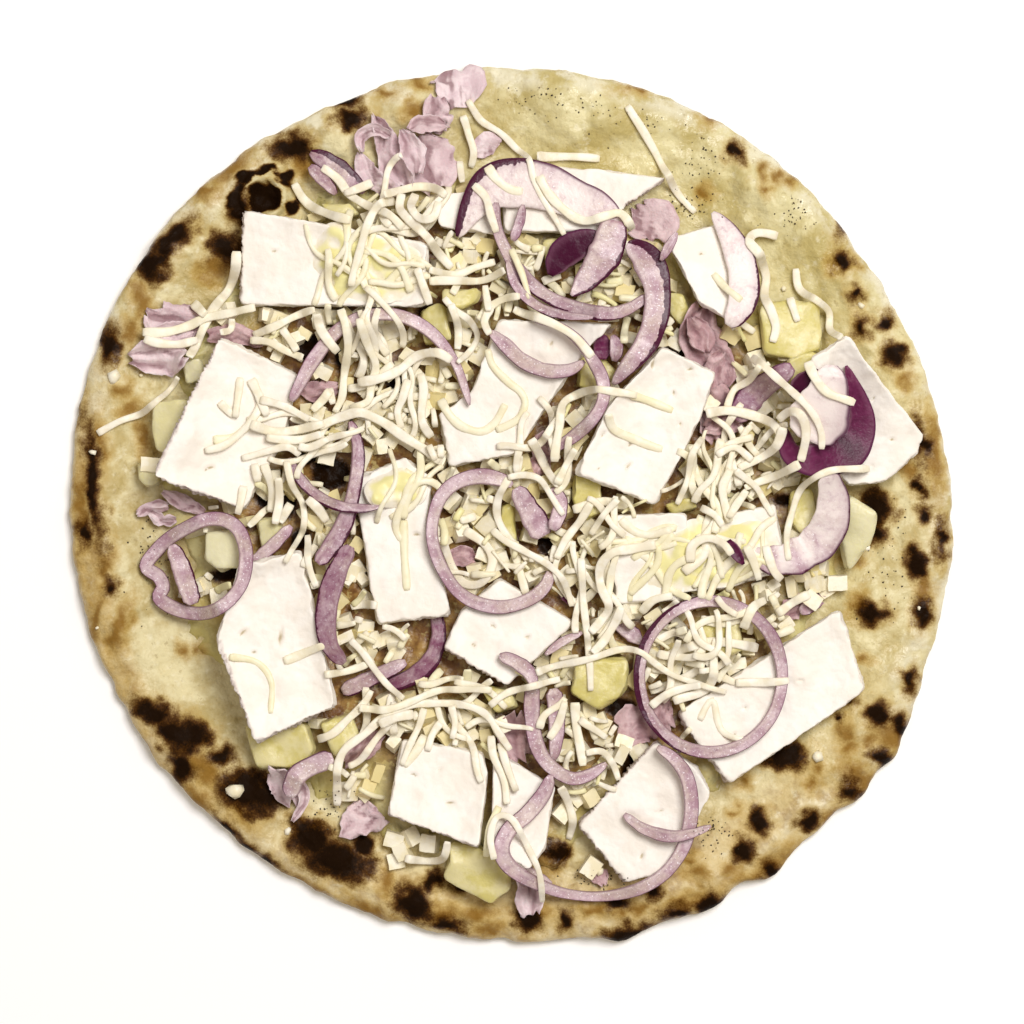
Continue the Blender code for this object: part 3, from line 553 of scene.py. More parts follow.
# Near-black patches in the hollows between the toppings, darkened through the char mark
BED_DARK_HOLLOWS = [
    (312, 350, 14, 15, 20), (330, 473, 18, 15, 0), (308, 457, 7, 6, 0), (397, 388, 9, 10, 40),
    (428, 311, 9, 5, 0), (341, 356, 5, 11, 0), (606, 574, 6, 13, 0), (226, 574, 12, 6, 10),
    (300, 540, 9, 8, 0), (264, 500, 6, 8, 30), (288, 505, 6, 10, 0), (512, 722, 9, 7, 0),
    (620, 708, 12, 8, 0), (636, 765, 10, 16, -40), (700, 640, 6, 5, 0), (418, 296, 5, 6, 0),
    (255, 600, 4, 8, 0), (784, 500, 8, 4, 0), (545, 545, 6, 8, 0), (678, 345, 7, 12, 0),
]
values = dough_marks(points[:, 0], points[:, 1])
hollow_darkness = spot_field(BED_DARK_HOLLOWS, points[:, 0], points[:, 1], edge=2)
# The hollows are darkened to near black through the char mark
values["char"] = np.maximum(values["char"], 0.3 + 1.8 * hollow_darkness)
inner = np.clip((1 - BED_SHARES[:, 0]) / 0.28, 0, 1)
values["inner_brown_and_shade"] = np.concatenate([np.repeat(inner, BED_STEPS), [1], np.zeros(3 * BED_STEPS + 1)])
raise_ground(points)
bare_bed = widened(ground)

melted_cheese, tree, shader = new_material("melted cheese", {"Roughness": 0.36})
thin = clouds(tree, 80.0, (200, 188, 118), (222, 214, 158))
thick = clouds(tree, 110.0, (168, 132, 74), (112, 74, 40))
# Brown farther in: partly the bed's own browning, partly painted shade in the gaps between toppings
colour = mix(tree, ramp(tree, mark(tree, "inner_brown_and_shade"), 0.0, 0.75), thin, thick)
curds = patches(tree, 250.0, 0.54, 0.62)
colour = mix(tree, product(tree, curds, 0.6), colour, paint(206, 190, 128))
baked = use(tree, baking, {"Base": colour, "Char": mark(tree, "char"), "Toast": mark(tree, "toast")})
skin = relief(tree, scale=380.0, depth=0.0009, strength=0.7)
shine = ramp(tree, baked["Black"], 0.0, 1.0, 0.35, 0.05)
fill(shader, {"Base Color": baked["Color"], "Specular IOR Level": shine, "Normal": skin})
piece("cheese_bed", points, faces, melted_cheese, "cheese_heap", values)

# The potato. Small boiled and peeled chunks, waxy and half translucent, tucked in low on the bed
# before the rest. Each is cut to rough corners that have rubbed round. Ten are large; the rest fill gaps.

# The gap that a piece keeps from what it rests on
GAP = 0.0004
POTATO_THICK = 0.0105
POTATO_BIT_THICK = 0.0070
# Chunks that lie farther than this to the left or right of a line, in metres, are paler
PALE_LINE = 0.018
PALE_BEYOND = 0.103
POTATO = [
    [(758, 303), (790, 298), (820, 304), (822, 350), (798, 362), (762, 356)],
    [(152, 402), (190, 398), (196, 430), (180, 462), (154, 450)],
    [(206, 532), (240, 528), (246, 560), (222, 574), (204, 560)],
    [(243, 724), (308, 722), (317, 748), (296, 768), (255, 768)],
    [(320, 722), (352, 712), (362, 742), (334, 758)],
    [(452, 840), (508, 852), (512, 888), (490, 904), (442, 880)],
    [(576, 660), (628, 656), (628, 690), (600, 712), (570, 694)],
    [(420, 310), (446, 304), (452, 340), (424, 346)],
    [(846, 492), (878, 512), (868, 545), (846, 572), (836, 530)],
    [(692, 624), (738, 618), (744, 650), (704, 662)],
]
SMALL_POTATO = [
    [(574, 474), (600, 480), (604, 512), (584, 522), (572, 500)],
    [(542, 240), (570, 238), (572, 262), (546, 266)],
    [(668, 292), (684, 294), (690, 312), (680, 326), (668, 314)],
    [(181, 360), (202, 358), (205, 380), (186, 386)],
    [(138, 464), (158, 462), (160, 484), (146, 488), (137, 478)],
    [(256, 520), (280, 516), (288, 540), (262, 554)],
    [(442, 290), (482, 290), (480, 302), (462, 312), (444, 306)],
    [(320, 204), (352, 204), (362, 216), (330, 218)],
    [(790, 492), (812, 486), (816, 512), (800, 536), (788, 520)],
    [(478, 684), (512, 690), (520, 708), (496, 714)],
    [(500, 505), (514, 503), (518, 545), (502, 548)],
    [(578, 358), (600, 352), (618, 372), (600, 396), (576, 386)],
    [(786, 360), (812, 352), (826, 362), (800, 380), (780, 384)],
    [(664, 505), (690, 498), (700, 508), (672, 516)],
]


def rounded(corners, pitch, softness):
    """A closed outline through soft corners, anticlockwise, at an even pitch."""
    corners = np.array([at(*pixel) for pixel in corners])
    turn = np.roll(corners, -1, axis=0)
    if (corners[:, 0] * turn[:, 1] - corners[:, 1] * turn[:, 0]).sum() < 0:
        corners = corners[::-1]
    dense = []
    for before, here, after in zip(np.roll(corners, 1, axis=0), corners, np.roll(corners, -1, axis=0)):
        start, end = here + (before - here) * softness, here + (after - here) * softness
        for t in np.linspace(0, 1, 7):
            dense.append((1 - t) ** 2 * start + 2 * t * (1 - t) * here + t * t * end)
    return evenly(np.array(dense), pitch, closed=True)


def covered(outline):
    """The window of cells round an outline, and which of them lie inside it."""
    low = np.floor((outline.min(axis=0) + HALF) / CELL).astype(int) - 3
    high = np.ceil((outline.max(axis=0) + HALF) / CELL).astype(int) + 4
    window = (slice(low[1], high[1]), slice(low[0], high[0]))
    x, y = grid_x[window], grid_y[window]
    inside = np.zeros(x.shape, bool)
    for (ax, ay), (bx, by) in zip(outline, np.roll(outline, -1, axis=0)):
        crosses = (ay > y) != (by > y)
        inside ^= crosses & (x < (bx - ax) * (y - ay) / (by - ay + 1e-12) + ax)
    return window, inside


def level_out(grid):
    """One round of evening out a grid."""
    return (np.roll(grid, 1, 0) + np.roll(grid, -1, 0) + np.roll(grid, 1, 1) + np.roll(grid, -1, 1)) / 4


def resting(outline, sag):
    """The underside of a slab let down on what lies there, as a whole grid: the plane that clears it
    all and is lowest at the middle, and below it as large a share of a soft sheet's sag as asked."""
    window, inside = covered(outline)
    support = np.where(inside, widened(ground[window]) + GAP, -1.0)
    middle = outline.mean(axis=0)
    x, y = grid_x[window] - middle[0], grid_y[window] - middle[1]
    peaks, px, py = support[inside], x[inside], y[inside]
    slope, stride, best = np.zeros(2), 0.2, peaks.max()
    while stride > 0.001:
        moved = False
        for way in ((1, 0), (-1, 0), (0, 1), (0, -1), (1, 1), (-1, -1), (1, -1), (-1, 1)):
            tried = slope + stride * np.array(way)
            level = (peaks - tried[0] * px - tried[1] * py).max()
            if level < best - 1e-7 and abs(tried).max() < 0.24:
                slope, best, moved = tried, level, True
        if not moved:
            stride /= 2
    plane = best + slope[0] * x + slope[1] * y
    soft = np.where(inside, support, plane)
    for _ in range(60):
        soft = np.where(inside, np.maximum(level_out(soft), support), plane)
    whole = np.zeros((COUNT, COUNT))
    whole[window] = plane + sag * (soft - plane)
    return whole


def lump(name, outline, thickness, inset, voxel, smoothing):
    """A cut piece as a dense mesh: its outline raised to a thickness, its edges rubbed round."""
    shape = bmesh.new()
    middle = outline.mean(axis=0)
    low = [shape.verts.new((*p, 0)) for p in outline]
    high = [shape.verts.new((*(p + (middle - p) * inset), thickness)) for p in outline]
    shape.faces.new(low[::-1])
    shape.faces.new(high)
    for i, j in zip(range(len(low)), [*range(1, len(low)), 0]):
        shape.faces.new((low[i], low[j], high[j], high[i]))
    cage_mesh = bpy.data.meshes.new(name)
    shape.to_mesh(cage_mesh)
    shape.free()
    cage = bpy.data.objects.new(name + "_cage", cage_mesh)
    bpy.context.scene.collection.objects.link(cage)
    dense = cage.modifiers.new("dense", "REMESH")
    dense.mode, dense.voxel_size, dense.use_smooth_shade = "VOXEL", voxel, True
    rub = cage.modifiers.new("rub", "SMOOTH")
    rub.factor, rub.iterations = 0.5, smoothing
    mesh = bpy.data.meshes.new_from_object(cage.evaluated_get(bpy.context.evaluated_depsgraph_get()))
    bpy.data.objects.remove(cage, do_unlink=True)
    points = np.empty(len(mesh.vertices) * 3, np.float32)
    mesh.vertices.foreach_get("co", points)
    return mesh, points.reshape(-1, 3).astype(float)


def settle(mesh, points):
    """Moves a mesh to where its points now are, and raises the ground to them."""
    raise_ground(points)
    mesh.vertices.foreach_set("co", points.astype(np.float32).ravel())


potato_flesh, tree, shader = new_material(
    "boiled potato", {"Roughness": 0.35, "Specular IOR Level": 0.35, "Subsurface Weight": 0.15,
                      "Subsurface Scale": 0.003, "Subsurface Radius": (1.0, 0.9, 0.3), "Coat Weight": 0.16,
                      "Coat Roughness": 0.12}
)
flesh = clouds(tree, 95.0, (207, 195, 116), (221, 211, 156))
skin = relief(tree, scale=520.0, depth=0.0006, strength=0.5)
flesh = mix(tree, mark(tree, "washed"), flesh, paint(230, 226, 194))
wet_skin = relief(tree, scale=420.0, depth=0.0012, strength=1.0)
fill(shader, {"Base Color": flesh, "Normal": skin, "Coat Normal": wet_skin})

draw = np.random.default_rng(11)


def lay_potato(name, corners, thickness, node):
    """A chunk of potato, rested on what lies there."""
    outline = rounded(corners, pitch=0.0014, softness=0.1)
    mesh, points = lump(name, outline, thickness, inset=0.06, voxel=0.0008, smoothing=3)
    x, y = points[:, 0], points[:, 1]
    up = points[:, 2] / thickness
    wobble = 0.0004 * read(coarse, x + 0.02 * up, y) + 0.0002 * read(middling, x, y + 0.02 * up)
    base = read(resting(outline, sag=0), x, y) + 0.0005 * read(coarse, x, y) * up
    points += np.stack([wobble * up, -wobble * up, base], axis=1)
    settle(mesh, points)
    far_out = abs(outline[:, 0].mean() - PALE_LINE) > PALE_BEYOND
    washed = draw.uniform(0.45, 0.8) if far_out else draw.uniform(0, 0.08)
    linked(name, mesh, potato_flesh, node, {"washed": np.full(len(points), washed)})


for number, corners in enumerate(POTATO, 1):
    thickness = POTATO_THICK * draw.uniform(0.85, 1.15)
    lay_potato(f"potato_chunk_{number}", corners, thickness, f"potato_{number}")
for number, corners in enumerate(SMALL_POTATO, 1):
    thickness = POTATO_BIT_THICK * draw.uniform(0.85, 1.15)
    lay_potato(f"potato_bit_{number}", corners, thickness, "cheese_heap")

# The ham. Cooked ham shaved thin, torn by hand and dropped on in loose heaps, so that each heap shows
# as a few folded petals with ragged edges. Its lean is pinker and blotched, its fat nearly lilac white.
HAM_THICK = 0.0009
HAM_STEP = 0.0011
# For each heap its petals: height of the folds in millimetres, folds across, route and widths in pixels
HAM = {
    "ham_1": [(0.8, 1.0, [(455, 68), (458, 84), (449, 104)], [60, 56, 30]),
              (2.2, 1.6, [(438, 98), (436, 116), (444, 132)], [24, 28, 30])],
    "ham_2": [(1.2, 1.2, [(424, 134), (431, 160), (438, 188)], [36, 50, 40]),
              (1.0, 0.8, [(474, 152), (488, 142), (500, 140)], [20, 24, 10]),
              (3.4, 1.1, [(374, 114), (386, 140), (396, 166), (404, 186)], [8, 26, 36, 26]),
              (1.6, 0.6, [(358, 152), (366, 170), (384, 186), (402, 192)], [12, 20, 20, 12]),
              (2.4, 0.8, [(362, 152), (360, 138), (374, 130), (390, 136)], [8, 13, 12, 10]),
              (3.6, 0.9, [(402, 130), (412, 150), (418, 174)], [16, 24, 16]),
              (2.0, 0.8, [(410, 130), (424, 124), (446, 124)], [10, 20, 12])],
    "ham_3": [(1.6, 1.6, [(147, 310), (158, 320), (176, 320), (200, 322)], [18, 34, 38, 28]),
              (1.2, 1.2, [(148, 338), (168, 334), (192, 330)], [16, 24, 18]),
              (2.0, 2.2, [(131, 358), (150, 356), (168, 354), (186, 350)], [22, 40, 44, 30])],
    "ham_4": [(1.6, 1.0, [(136, 514), (152, 507), (168, 506)], [10, 14, 12]),
              (1.6, 1.2, [(162, 492), (182, 502), (204, 512)], [10, 16, 10]),
              (1.4, 1.0, [(150, 512), (160, 520), (176, 520)], [10, 14, 10])],
    "ham_5": [(1.0, 1.0, [(638, 205), (652, 220), (656, 240)], [26, 50, 46])],
    "ham_6": [(2.4, 2.4, [(704, 306), (700, 332), (712, 362), (722, 392)], [26, 42, 44, 30]),
              (2.6, 1.6, [(690, 318), (700, 334), (706, 352)], [14, 26, 16]),
              (2.6, 1.2, [(722, 352), (712, 372), (716, 394)], [12, 20, 14])],
    "ham_7": [(2.2, 2.4, [(720, 384), (716, 408), (722, 440)], [30, 44, 34]),
              (2.0, 1.6, [(704, 428), (722, 422), (742, 430)], [14, 28, 16])],
    "ham_8": [(2.6, 1.2, [(272, 770), (284, 786), (292, 806)], [20, 34, 16]),
              (1.6, 0.8, [(298, 778), (304, 800), (292, 822)], [12, 10, 6])],
    "ham_9": [(2.2, 1.8, [(362, 802), (362, 820), (366, 836)], [22, 42, 56])],
    "ham_10": [(1.8, 1.4, [(528, 868), (529, 890), (530, 913)], [20, 26, 32])],
    "ham_11": [(2.0, 1.4, [(636, 706), (638, 724), (650, 742)], [34, 48, 30])],
    "cheese_heap": [(2.4, 1.2, [(518, 712), (514, 736), (524, 758)], [22, 34, 24]),
                    (1.8, 1.0, [(782, 618), (800, 604), (824, 600)], [16, 22, 14]),
                    (2.4, 1.0, [(548, 430), (544, 452), (536, 474)], [20, 28, 16]),
                    (1.8, 1.2, [(344, 764), (362, 748), (384, 734)], [14, 26, 16]),
                    (1.6, 1.0, [(668, 700), (662, 716), (672, 730)], [14, 24, 16]),
                    (1.4, 1.0, [(206, 336), (234, 334), (264, 342)], [16, 22, 14]),
                    (1.6, 1.2, [(504, 640), (522, 650), (538, 648)], [14, 24, 16]),
                    (1.8, 1.2, [(300, 388), (320, 392), (338, 386)], [14, 22, 16]),
                    (1.8, 1.2, [(446, 560), (462, 556), (476, 560)], [14, 22, 14]),
                    (1.0, 1.0, [(594, 868), (600, 878), (604, 886)], [12, 20, 10])],
}

cooked_ham, tree, shader = new_material(
    "cooked ham", {"Roughness": 0.5, "Subsurface Weight": 0.15, "Subsurface Scale": 0.002,
                   "Subsurface Radius": (1.0, 0.7, 0.75), "Specular IOR Level": 0.35}
)
fat = clouds(tree, 140.0, (234, 215, 218), (216, 192, 198))
lean = clouds(tree, 200.0, (208, 178, 180), (184, 148, 152))
colour = mix(tree, ramp(tree, mark(tree, "lean"), 0.25, 0.75), fat, lean)
marbled = patches(tree, 75.0, 0.55, 0.68)
colour = mix(tree, product(tree, marbled, 0.5), colour, paint(190, 158, 164))
# Painted shade in the valleys of the folds, darker where the sheet lies low
colour = mix(tree, ramp(tree, mark(tree, "fold_shade"), 0.55, 0.05, 0.0, 0.75), colour, paint(132, 92, 98))
skin = relief(tree, scale=640.0, depth=0.0006, strength=0.8)
fill(shader, {"Base Color": colour, "Normal": skin})


def curve_through(pixels, pitch, closed=False, others=()):
    """A smooth curve through pixels at an even pitch, with further values carried along as columns."""
    knots = np.array([at(*pixel) for pixel in pixels])
    knots = np.column_stack([knots, *[np.broadcast_to(values, len(knots)) for values in others]])
    count, dense = len(knots), []
    for i in range(count if closed else count - 1):
        if closed:
            p = [knots[(i + k) % count] for k in (-1, 0, 1, 2)]
        else:
            p = [knots[max(0, i - 1)], knots[i], knots[i + 1], knots[min(count - 1, i + 2)]]
        for t in np.linspace(0, 1, 10, endpoint=False):
            swing = 2 * p[0] - 5 * p[1] + 4 * p[2] - p[3]
            spread = 3 * p[1] - 3 * p[2] + p[3] - p[0]
            dense.append(0.5 * (2 * p[1] + (p[2] - p[0]) * t + swing * t**2 + spread * t**3))
    if not closed:
        dense.append(knots[-1])
    return evenly(np.array(dense), pitch, closed)


def sideways(route, closed=False):
    """The unit vector to the left at each point of a route."""
    if closed:
        along = np.roll(route, -1, axis=0) - np.roll(route, 1, axis=0)
    else:
        along = np.gradient(route, axis=0)
    along = along[:, :2] / np.linalg.norm(along[:, :2], axis=1)[:, None]
    return np.stack([-along[:, 1], along[:, 0]], axis=1)


def from_ends(count):
    """How many steps each point of a route is from its nearer end."""
    return np.minimum(np.arange(count), np.arange(count)[::-1])


def limp(rounds):
    """How a limp sheet would lie over everything, as a grid."""
    support = widened(ground) + GAP
    soft = support.copy()
    for _ in range(rounds):
        soft = np.maximum(level_out(soft), support)
    return soft


def sheet_faces(rows, columns, start):
    """Faces of a closed sheet whose points come as a grid above and the same grid below."""
    index = start + np.arange(rows * columns).reshape(rows, columns)
    top = np.stack([index[:-1, :-1], index[1:, :-1], index[1:, 1:], index[:-1, 1:]], axis=-1).reshape(-1, 4)
    shift = rows * columns
    rim = np.concatenate([index[0, :-1], index[:-1, -1], index[-1, :0:-1], index[:0:-1, 0]])
    ahead = np.roll(rim, -1)
    walls = np.stack([rim, ahead, ahead + shift, rim + shift], axis=-1)
    return top.tolist() + (top[:, ::-1] + shift).tolist() + walls.tolist()


def petal(route, widths, height, folds, start, draw):
    """One torn sheet along a route, folded lengthwise, as points, faces and heights in the folds for painted
    shade.
    """
    run = curve_through(route, HAM_STEP, others=[widths])
    count = len(run)
    left = sideways(run)
    v = np.linspace(-1, 1, 17)[None, :]
    ragged = 1 + 0.09 * np.interp(np.arange(count), np.linspace(0, count, 9), draw.standard_normal(9))
    ragged = ragged + 0.04 * draw.standard_normal(count)
    ends = from_ends(count)
    half = run[:, 2] * PIXEL / 2 * ragged * np.clip(0.6 + ends / 6, 0, 1)
    tears = np.interp(v[0], np.linspace(-1, 1, 7), draw.standard_normal(7))
    torn = 0.0011 * min(1, max(widths) / 34) ** 2 * tears
    forward = np.stack([left[:, 1], -left[:, 0]], axis=1)
    aside = (half[:, None] * v)[..., None]
    slip = (torn[None, :] * np.clip(1 - ends / 4, 0, 1)[:, None])[..., None]
    plan = run[:, None, :2] + left[:, None] * aside + forward[:, None] * slip
    drift = np.interp(np.arange(count), np.linspace(0, count, 5), draw.standard_normal(5))
    phase = draw.uniform(0, 6.28) + 1.6 * drift
    wave = 1 - np.abs(np.sin(math.pi * folds * (v + 1) / 2 + phase[:, None] / 2))
    wave = wave**0.8 + 0.22 * np.abs(np.sin(6 * v + 0.9 * phase[:, None] + 0.35 * np.arange(count)[:, None]))
    curl = 0.25 * np.abs(v) ** 3
    x, y = plan[..., 0], plan[..., 1]
    lift = height * np.clip(wave + curl, 0, None) + 0.00025 * read(fine, x * 1.5, y * 1.5)
    base = read(limp(rounds=16), x, y)
    top = np.stack([x, y, base + lift + HAM_THICK], axis=-1).reshape(-1, 3)
    under = np.stack([x, y, base + lift], axis=-1).reshape(-1, 3)
    raise_ground(np.column_stack([top[:, :2], (base + 0.45 * lift).ravel() + HAM_THICK]))
    fold_shade = np.tile((lift / height).ravel(), 2)
    return np.vstack([top, under]), sheet_faces(count, v.shape[1], start), fold_shade


for number, (node, petals) in enumerate(HAM.items()):
    draw = np.random.default_rng(40 + number)
    points, faces, lean, fold_shade = [], [], [], []
    lean_cut = node in ("ham_6", "ham_7", "ham_11", "cheese_heap")
    for height, folds, route, widths in petals:
        start = sum(map(len, points))
        more, more_faces, more_fold_shade = petal(route, widths, height / 1000, folds, start, draw)
        points.append(more)
        faces += more_faces
        fold_shade.append(more_fold_shade)
        lean.append(np.full(len(more), 0.85 if lean_cut else draw.uniform(0, 0.5)))
    name = "ham_scraps" if node == "cheese_heap" else f"{node}_torn"
    piece(name, np.vstack(points), faces, cooked_ham, node,
          {"lean": np.concatenate(lean), "fold_shade": np.concatenate(fold_shade)})

# The onion. Raw red onion sliced into rings and half rings, moist and half translucent: lilac flesh
# with a thin dark line on its outer side, and on the outermost layer a strip of purple skin. The hook
# and the loose bits lie under the camembert; the others go on later and bridge from piece to piece.
ONION_THICK = 0.0026
ONION_STEP = 0.0009
# Strips broader than this many pixels are thin flat petals
BROAD = 19
PETAL_THICK = 0.0018
RING_MIDDLE = (710, 676)
RING_REACH = (71, 75)
ring = [(RING_MIDDLE[0] + RING_REACH[0] * math.cos(math.radians(turn)),
         RING_MIDDLE[1] - RING_REACH[1] * math.sin(math.radians(turn))) for turn in range(0, 360, 30)]
# For each node its strips: route and widths in pixels, share of skin, purple stain, lean in degrees
ONION_UNDER = {
    "hook": [
        ([(434, 608), (438, 636), (430, 660), (412, 676), (386, 686)],
         [13, 15, 18, 18, 12], 0.2, 0.8, 10),
        ([(342, 692), (372, 678), (406, 662)], [16, 16, 12], 0.1, 0.35, 0),
    ],
}
ONION = {
    "left_ring": [
        ([(146, 566), (158, 549), (172, 537), (190, 527), (207, 520), (224, 520), (238, 528), (246, 544),
          (248, 562), (244, 582), (233, 598), (217, 609), (200, 613), (183, 611), (168, 605), (159, 597),
          (163, 587), (158, 576)],
         14, 0, 0.25, 6),
        ([(172, 545), (182, 570), (194, 604)], [14, 20, 18], 0.1, 0, 4),
    ],
    "left_arc": [
        ([(293, 402), (301, 386), (312, 365), (326, 345), (342, 329), (362, 319), (385, 316), (405, 319),
          (425, 329), (442, 345), (456, 366), (464, 388), (469, 406)],
         [8, 12, 14, 14, 14, 13, 13, 13, 13, 11, 9, 8, 4], 0.04, 0.1, 8),
    ],
    "left_bar": [
        ([(350, 422), (357, 445), (357, 470), (352, 498), (343, 525), (328, 550), (318, 562)],
         [8, 12, 14, 15, 18, 18, 14], 0.16, 0.5, 14),
    ],
    "left_curve": [
        ([(290, 458), (298, 475), (315, 493), (338, 505), (362, 508), (384, 506)],
         [8, 11, 11, 11, 9, 3], 0.2, 0.45, 6),
    ],
    "left_strap": [
        ([(352, 546), (338, 574), (330, 600), (328, 626), (333, 646), (346, 662)],
         [16, 22, 23, 22, 18, 12], 0.1, 0.75, 16),
    ],
    "centre_ring": [
        ([(512, 486), (500, 480), (478, 477), (455, 484), (440, 500), (433, 525), (435, 548), (445, 572),
          (460, 592), (480, 603), (505, 606), (530, 598), (545, 585), (549, 571)],
         [10, 14, 16, 15, 14, 12, 12, 12, 12, 13, 14, 14, 13, 10], 0.03, 0.0, 6),
    ],
    "centre_piece": [
        ([(516, 488), (530, 512), (544, 536)], [16, 24, 26], 0.08, 0.15, 4),
        ([(552, 488), (560, 506), (552, 530)], [14, 16, 14], 0.08, 0.2, 4),
    ],
    "top_slice": [
        ([(458, 238), (474, 208), (494, 188), (520, 184), (545, 188), (568, 197), (590, 206), (608, 216),
          (622, 228)],
         [8, 28, 46, 50, 46, 42, 36, 26, 8], [0.6, 0.3, 0.18, 0.1, 0, 0, 0, 0, 0], -0.7, 3),
    ],
    "top_band": [
        ([(497, 204), (497, 226), (506, 250), (522, 275), (546, 296), (576, 309), (605, 315), (628, 309),
          (647, 296)],
         [7, 10, 12, 14, 14, 15, 14, 13, 8], [0, 0, 0, 0.1, 0.2, 0.2, 0.16, 0, 0], 0.2, 8),
        ([(508, 262), (516, 286), (536, 306), (562, 316), (592, 319)], [6, 10, 10, 9, 5], 0.1, 0.3, 6),
        ([(523, 206), (520, 222), (513, 242)], [6, 10, 10], 0, 0.5, 0),
    ],
    "top_limb": [
        ([(600, 236), (580, 244), (562, 256), (550, 276)], [12, 28, 30, 12], 0, 2.0, 0),
        ([(614, 222), (607, 250), (592, 274), (571, 297)],
         [28, 34, 27, 8], [0.06, 0.12, 0.14, 0.3], 0.15, 2),
    ],
    "top_arc": [
        ([(626, 246), (643, 257), (654, 277), (657, 301), (653, 326), (643, 348), (628, 366), (612, 385)],
         [16, 29, 31, 28, 25, 22, 18, 8], [0.36, 0.34, 0.3, 0.27, 0.26, 0.22, 0.1, 0], 0.0, 2),
        ([(676, 234), (668, 248), (660, 262)], [6, 10, 6], 0, 0.4, 0),
    ],
    "middle_oval": [
        ([(490, 332), (506, 346), (522, 361), (545, 371), (568, 371), (584, 362)],
         [8, 14, 15, 15, 13, 6], 0, 0.0, 4),
        ([(535, 323), (558, 328), (577, 342), (591, 361), (601, 380), (602, 400), (592, 419), (571, 438),
          (549, 450)],
         [5, 8, 10, 12, 13, 13, 13, 13, 8], 0, 0.15, 6),
    ],
    "right_crescent": [
        ([(712, 213), (728, 235), (740, 262), (743, 286), (740, 306), (727, 327)],
         [8, 22, 31, 32, 28, 16], [0, 0.05, 0.06, 0.08, 0.1, 0.1], -0.75, 5),
    ],
    "right_petal": [
        ([(843, 367), (852, 392), (860, 420), (852, 444), (830, 458), (806, 460), (788, 452), (783, 428)],
         [5, 18, 26, 34, 36, 32, 22, 8], 0, 1.35, 0),
        ([(812, 370), (800, 388), (790, 400)], [10, 26, 16], 0, 2.0, 0),
        # Its pale dome is painted near white: partly pale flesh, partly painted highlight
        ([(827, 367), (824, 392), (816, 418), (806, 442)], [20, 42, 60, 44], 0, -0.9, 0),
    ],
    "right_arc": [
        ([(824, 474), (831, 498), (829, 522), (817, 542), (797, 555), (774, 560), (746, 552)],
         [22, 33, 38, 39, 36, 30, 14], 0.04, -0.6, 3),
    ],
    "right_ring": [
        (ring, 12, [0, 0, 0, 0, 0.25, 0.45, 0.5, 0.4, 0.2, 0, 0, 0], 0.2, 4),
    ],
    "low_strap": [
        ([(553, 688), (556, 712), (556, 735), (553, 760)], [16, 18, 16, 8], 0.05, 0.3, 4),
        ([(533, 683), (532, 706), (534, 732), (541, 753), (554, 768), (572, 777), (590, 773), (606, 762)],
         [14, 16, 16, 15, 14, 13, 12, 6], 0.04, 0.15, 5),
        ([(499, 655), (515, 661), (529, 672), (534, 686)], [10, 14, 14, 8], 0.04, 0.2, 4),
        ([(545, 654), (562, 641), (582, 632)], [6, 9, 5], 0.04, 0.2, 0),
    ],
    "low_ring": [
        ([(656, 746), (672, 757), (685, 775), (690, 800), (688, 825), (680, 850), (662, 873), (634, 889),
          (600, 896), (565, 893), (536, 881), (510, 863), (502, 846), (509, 828), (528, 812), (544, 792),
          (551, 774)],
         [9, 12, 14, 15, 15, 14, 14, 13, 10, 11, 12, 15, 16, 16, 16, 15, 10], 0.03, 0.08, 6),
    ],
    "low_tail": [
        ([(624, 813), (643, 827), (668, 834), (690, 831), (710, 824)], [8, 11, 12, 10, 5], 0.03, 0.05, 5),
    ],
}
LOOSE_ONION = [
    ([(310, 152), (328, 162), (346, 175), (364, 192)], [10, 20, 20, 10], 0.35, 0.5, 4),
    ([(310, 166), (324, 180), (336, 194)], [12, 14, 8], 0.1, 0.5, 0),
    ([(215, 388), (240, 400), (262, 414)], [8, 14, 10], 0.2, 0.3, 0),
    ([(252, 562), (272, 547), (292, 526)], [8, 14, 10], 0, 0.0, 0),
    ([(290, 796), (300, 772), (334, 756)], [18, 20, 20], 0, 0.05, 0),
    ([(735, 420), (756, 392), (790, 368)], [20, 26, 16], 0, 0.55, 0),
    ([(598, 334), (602, 346), (602, 360)], [12, 18, 14], 0, 1.1, 0),
    ([(612, 336), (616, 348), (614, 362)], [8, 14, 10], 0, 0.5, 0),
    ([(614, 620), (632, 634), (642, 644)], [14, 16, 8], 0, 0.2, 0),
    ([(800, 612), (822, 600)], [14, 12], 0, 0.2, 0),
    ([(560, 592), (576, 606)], [10, 8], 0, 1.2, 0),
    ([(520, 870), (540, 880), (552, 884)], [16, 14, 6], 0, 0.0, 0),
]

red_onion, tree, shader = new_material(
    "red onion", {"Roughness": 0.34, "Specular IOR Level": 0.32, "Subsurface Weight": 0.1,
                  "Subsurface Scale": 0.002, "Subsurface Radius": (1.0, 0.8, 0.9), "Coat Weight": 0.05,
                  "Coat Roughness": 0.1}
)
across, along = mark(tree, "across"), mark(tree, "along")
flesh = clouds(tree, 150.0, (180, 146, 158), (216, 194, 200), 0.36, 0.62)
clear = patches(tree, 85.0, 0.46, 0.62)
flesh = mix(tree, product(tree, clear, 0.6), flesh, paint(204, 186, 172))
flesh = mix(tree, ramp(tree, across, -0.1, -0.8, 0.0, 0.55), flesh, paint(222, 206, 200))
